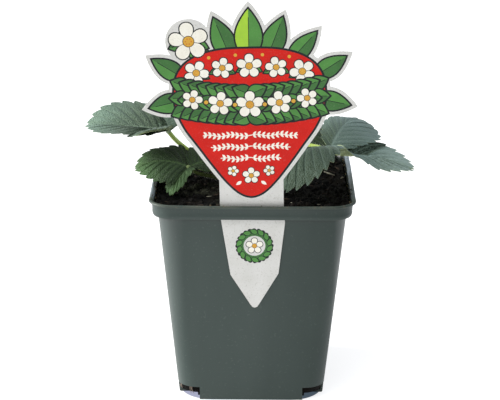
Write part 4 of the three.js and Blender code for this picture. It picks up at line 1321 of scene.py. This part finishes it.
def on_label(u, v, height):
    """A place on the card, height above the plane of its back."""
    return label_start + label_u * u + label_v * v + to_front * height


flat_points, outlines = [], []
for ink, outline in print_list:
    outlines.append([len(flat_points) + k for k in range(len(outline))])
    flat_points += [Vector(p) for p in outline]
verts, _, cells, _, _, owners = delaunay_2d_cdt(flat_points, [], outlines, 1, 1e-5, True)
points = [on_label(v.x, v.y, height) for height in (CARD_FRONT, CARD_BACK) for v in verts]
faces, inks, border = [], [], {}
for cell, owner in zip(cells, owners):
    if not owner:
        continue
    faces.append(tuple(cell))
    inks.append(INK_ORDER.index(print_list[max(owner)][0]))
    for a, b in zip(cell, cell[1:] + cell[:1]):
        if (b, a) in border:
            del border[(b, a)]
        else:
            border[(a, b)] = True
front_count = len(faces)
faces += [tuple(i + len(verts) for i in reversed(f)) for f in faces[:front_count]]
faces += [(b, a, a + len(verts), b + len(verts)) for a, b in border]
inks += [0] * (len(faces) - front_count)
label_piece = mesh_piece("printed_label", points, faces, list(INKS.values()), inks, crease=50)
seat(label_piece, "card", "label")

# %% [markdown]
# ## Root tips in the notches
# Young roots reach the drainage notches and hang there. They are short tapering tubes with a
# little bend, in a light brown that stands out from the soil.

# %% Root tips
root_skin = mottled("root_tip", "#7d5c43", 0.65, "#54473b", "#8d8073", 1.5, 0.35, 0.7)[0]
chance = random.Random(11)
points, faces = [], []
for (sx, sy), number, spread in zip(CORNERS, (3, 4, 6, 0), (3.0, 2.5, 0.8, 2.0)):
    for k in range(number):
        out = chance.uniform(38.9, 39.6)
        u = chance.uniform(33.8 - spread, 33.8 + spread)
        start = Vector((sx * u, sy * out, 8.2)) if k % 3 else Vector((sx * out, sy * u, 8.2))
        to_side, outwards = sx * chance.uniform(-1.5, 1.5), sy * chance.uniform(0.0, 0.7)
        fall = Vector((to_side, outwards, -chance.uniform(3.0, 5.6)))
        sway = Vector((chance.uniform(-0.8, 0.8), chance.uniform(-0.3, 0.3), 0))
        line = [start + fall * (s / 9) + sway * sin(s / 9 * pi) for s in range(10)]
        thick = chance.uniform(0.22, 0.5)
        add_part(points, faces, *tube(line, lambda t: thick * (1 - 0.75 * t * t), 7)[:2])
seat(mesh_piece("root_tips", points, faces, [root_skin], crease=60), "soil")

# %% [markdown]
# ## Floor and light
# A white floor and a bright, even studio: a large soft light from the upper left in front, a
# smaller one from the left, a weak bluish one from the right, and white all round, so that the
# dark plastic shows a soft sheen along its edges. The floor glows evenly white, and under the pot
# it carries a painted shade that glows in its own colour, bluish at the left and darker at the
# right. That patch is a square with round corners, found from how far a place lies outside a
# smaller square.

# %% Floor and studio light
FOOT_STRAIGHT = 0.0213
FOOT_CORNER = (0.0187, 0.0193)
floor_paper, tree, shader, place = principled("white_studio_floor", "#b3b3b3", 0.9, {
    "Emission Color": (1, 1, 1, 1), "Emission Strength": 0.78})
beyond = place
for operation, value in (("ABSOLUTE", None), ("SUBTRACT", (FOOT_STRAIGHT, FOOT_STRAIGHT, 1.0)),
                         ("MAXIMUM", (0.0, 0.0, 0.0))):
    inputs = (beyond, value) if value else (beyond,)
    beyond = add_node(tree, "ShaderNodeVectorMath", inputs, operation=operation)
far = add_node(tree, "ShaderNodeVectorMath", (beyond,), "Value", operation="LENGTH")
side_x = add_node(tree, "ShaderNodeSeparateXYZ", (place,), "X")
under_pot = add_node(tree, RAMP, (far, *FOOT_CORNER, 1.0, 0.0))
# The painted shade under the pot: bluish at the left, darker at the right.
shade = layered(tree, "#a6a9c2", (add_node(tree, RAMP, (side_x, -0.03, 0.03)), "#46535f"))
# Under the pot the painted shade glows in place of the floor's white.
feed(shader, {
    "Emission Color": layered(tree, "#ffffff", (under_pot, shade)),
    "Base Color": layered(tree, "#b3b3b3", (under_pot, "#050505")),
    "Emission Strength": add_node(tree, RAMP, (under_pot, 0.0, 1.0, 0.78, 1.0))})
FLOOR_HALF, FLOOR_Z = 2500, -0.1
mesh_piece("floor", [(sx * FLOOR_HALF, sy * FLOOR_HALF, FLOOR_Z) for sx, sy in CORNERS],
                    [(0, 1, 2, 3)], [floor_paper])

world = bpy.data.worlds.new("white_studio")
bpy.context.scene.world = world
world.use_nodes = True
sky = world.node_tree.nodes["Background"]
sky.inputs["Color"].default_value = (1, 1, 1, 1)
sky.inputs["Strength"].default_value = 0.44
bpy.context.scene.view_settings.view_transform = "Standard"


def lamp(name, kind, place_at, aim_at, power, size, colour="#ffffff"):
    """A soft light: size is metres for an area lamp and degrees of sky for a sun."""
    data = bpy.data.lights.new(name, kind)
    data.energy = power
    data.color = linear(colour)[:3]
    if kind == "SUN":
        data.angle = radians(size)
    else:
        data.shape, data.size = "DISK", size
    light = put(name, data)
    light.location = place_at
    light.rotation_euler = (Vector(aim_at) - Vector(place_at)).to_track_quat("-Z", "Y").to_euler()


lamp("ceiling_light", "SUN", (-0.4, -0.33, 1.0), (0, 0, 0), 2.1, 50)
lamp("left_light", "AREA", (-1.1, 0.05, 0.5), (0, 0, 0.1), 20, 0.6)
lamp("right_light", "AREA", (1.1, 0.3, 0.6), (0, 0, 0.1), 3.5, 0.5, "#bcd2ff")
print("lights ready")
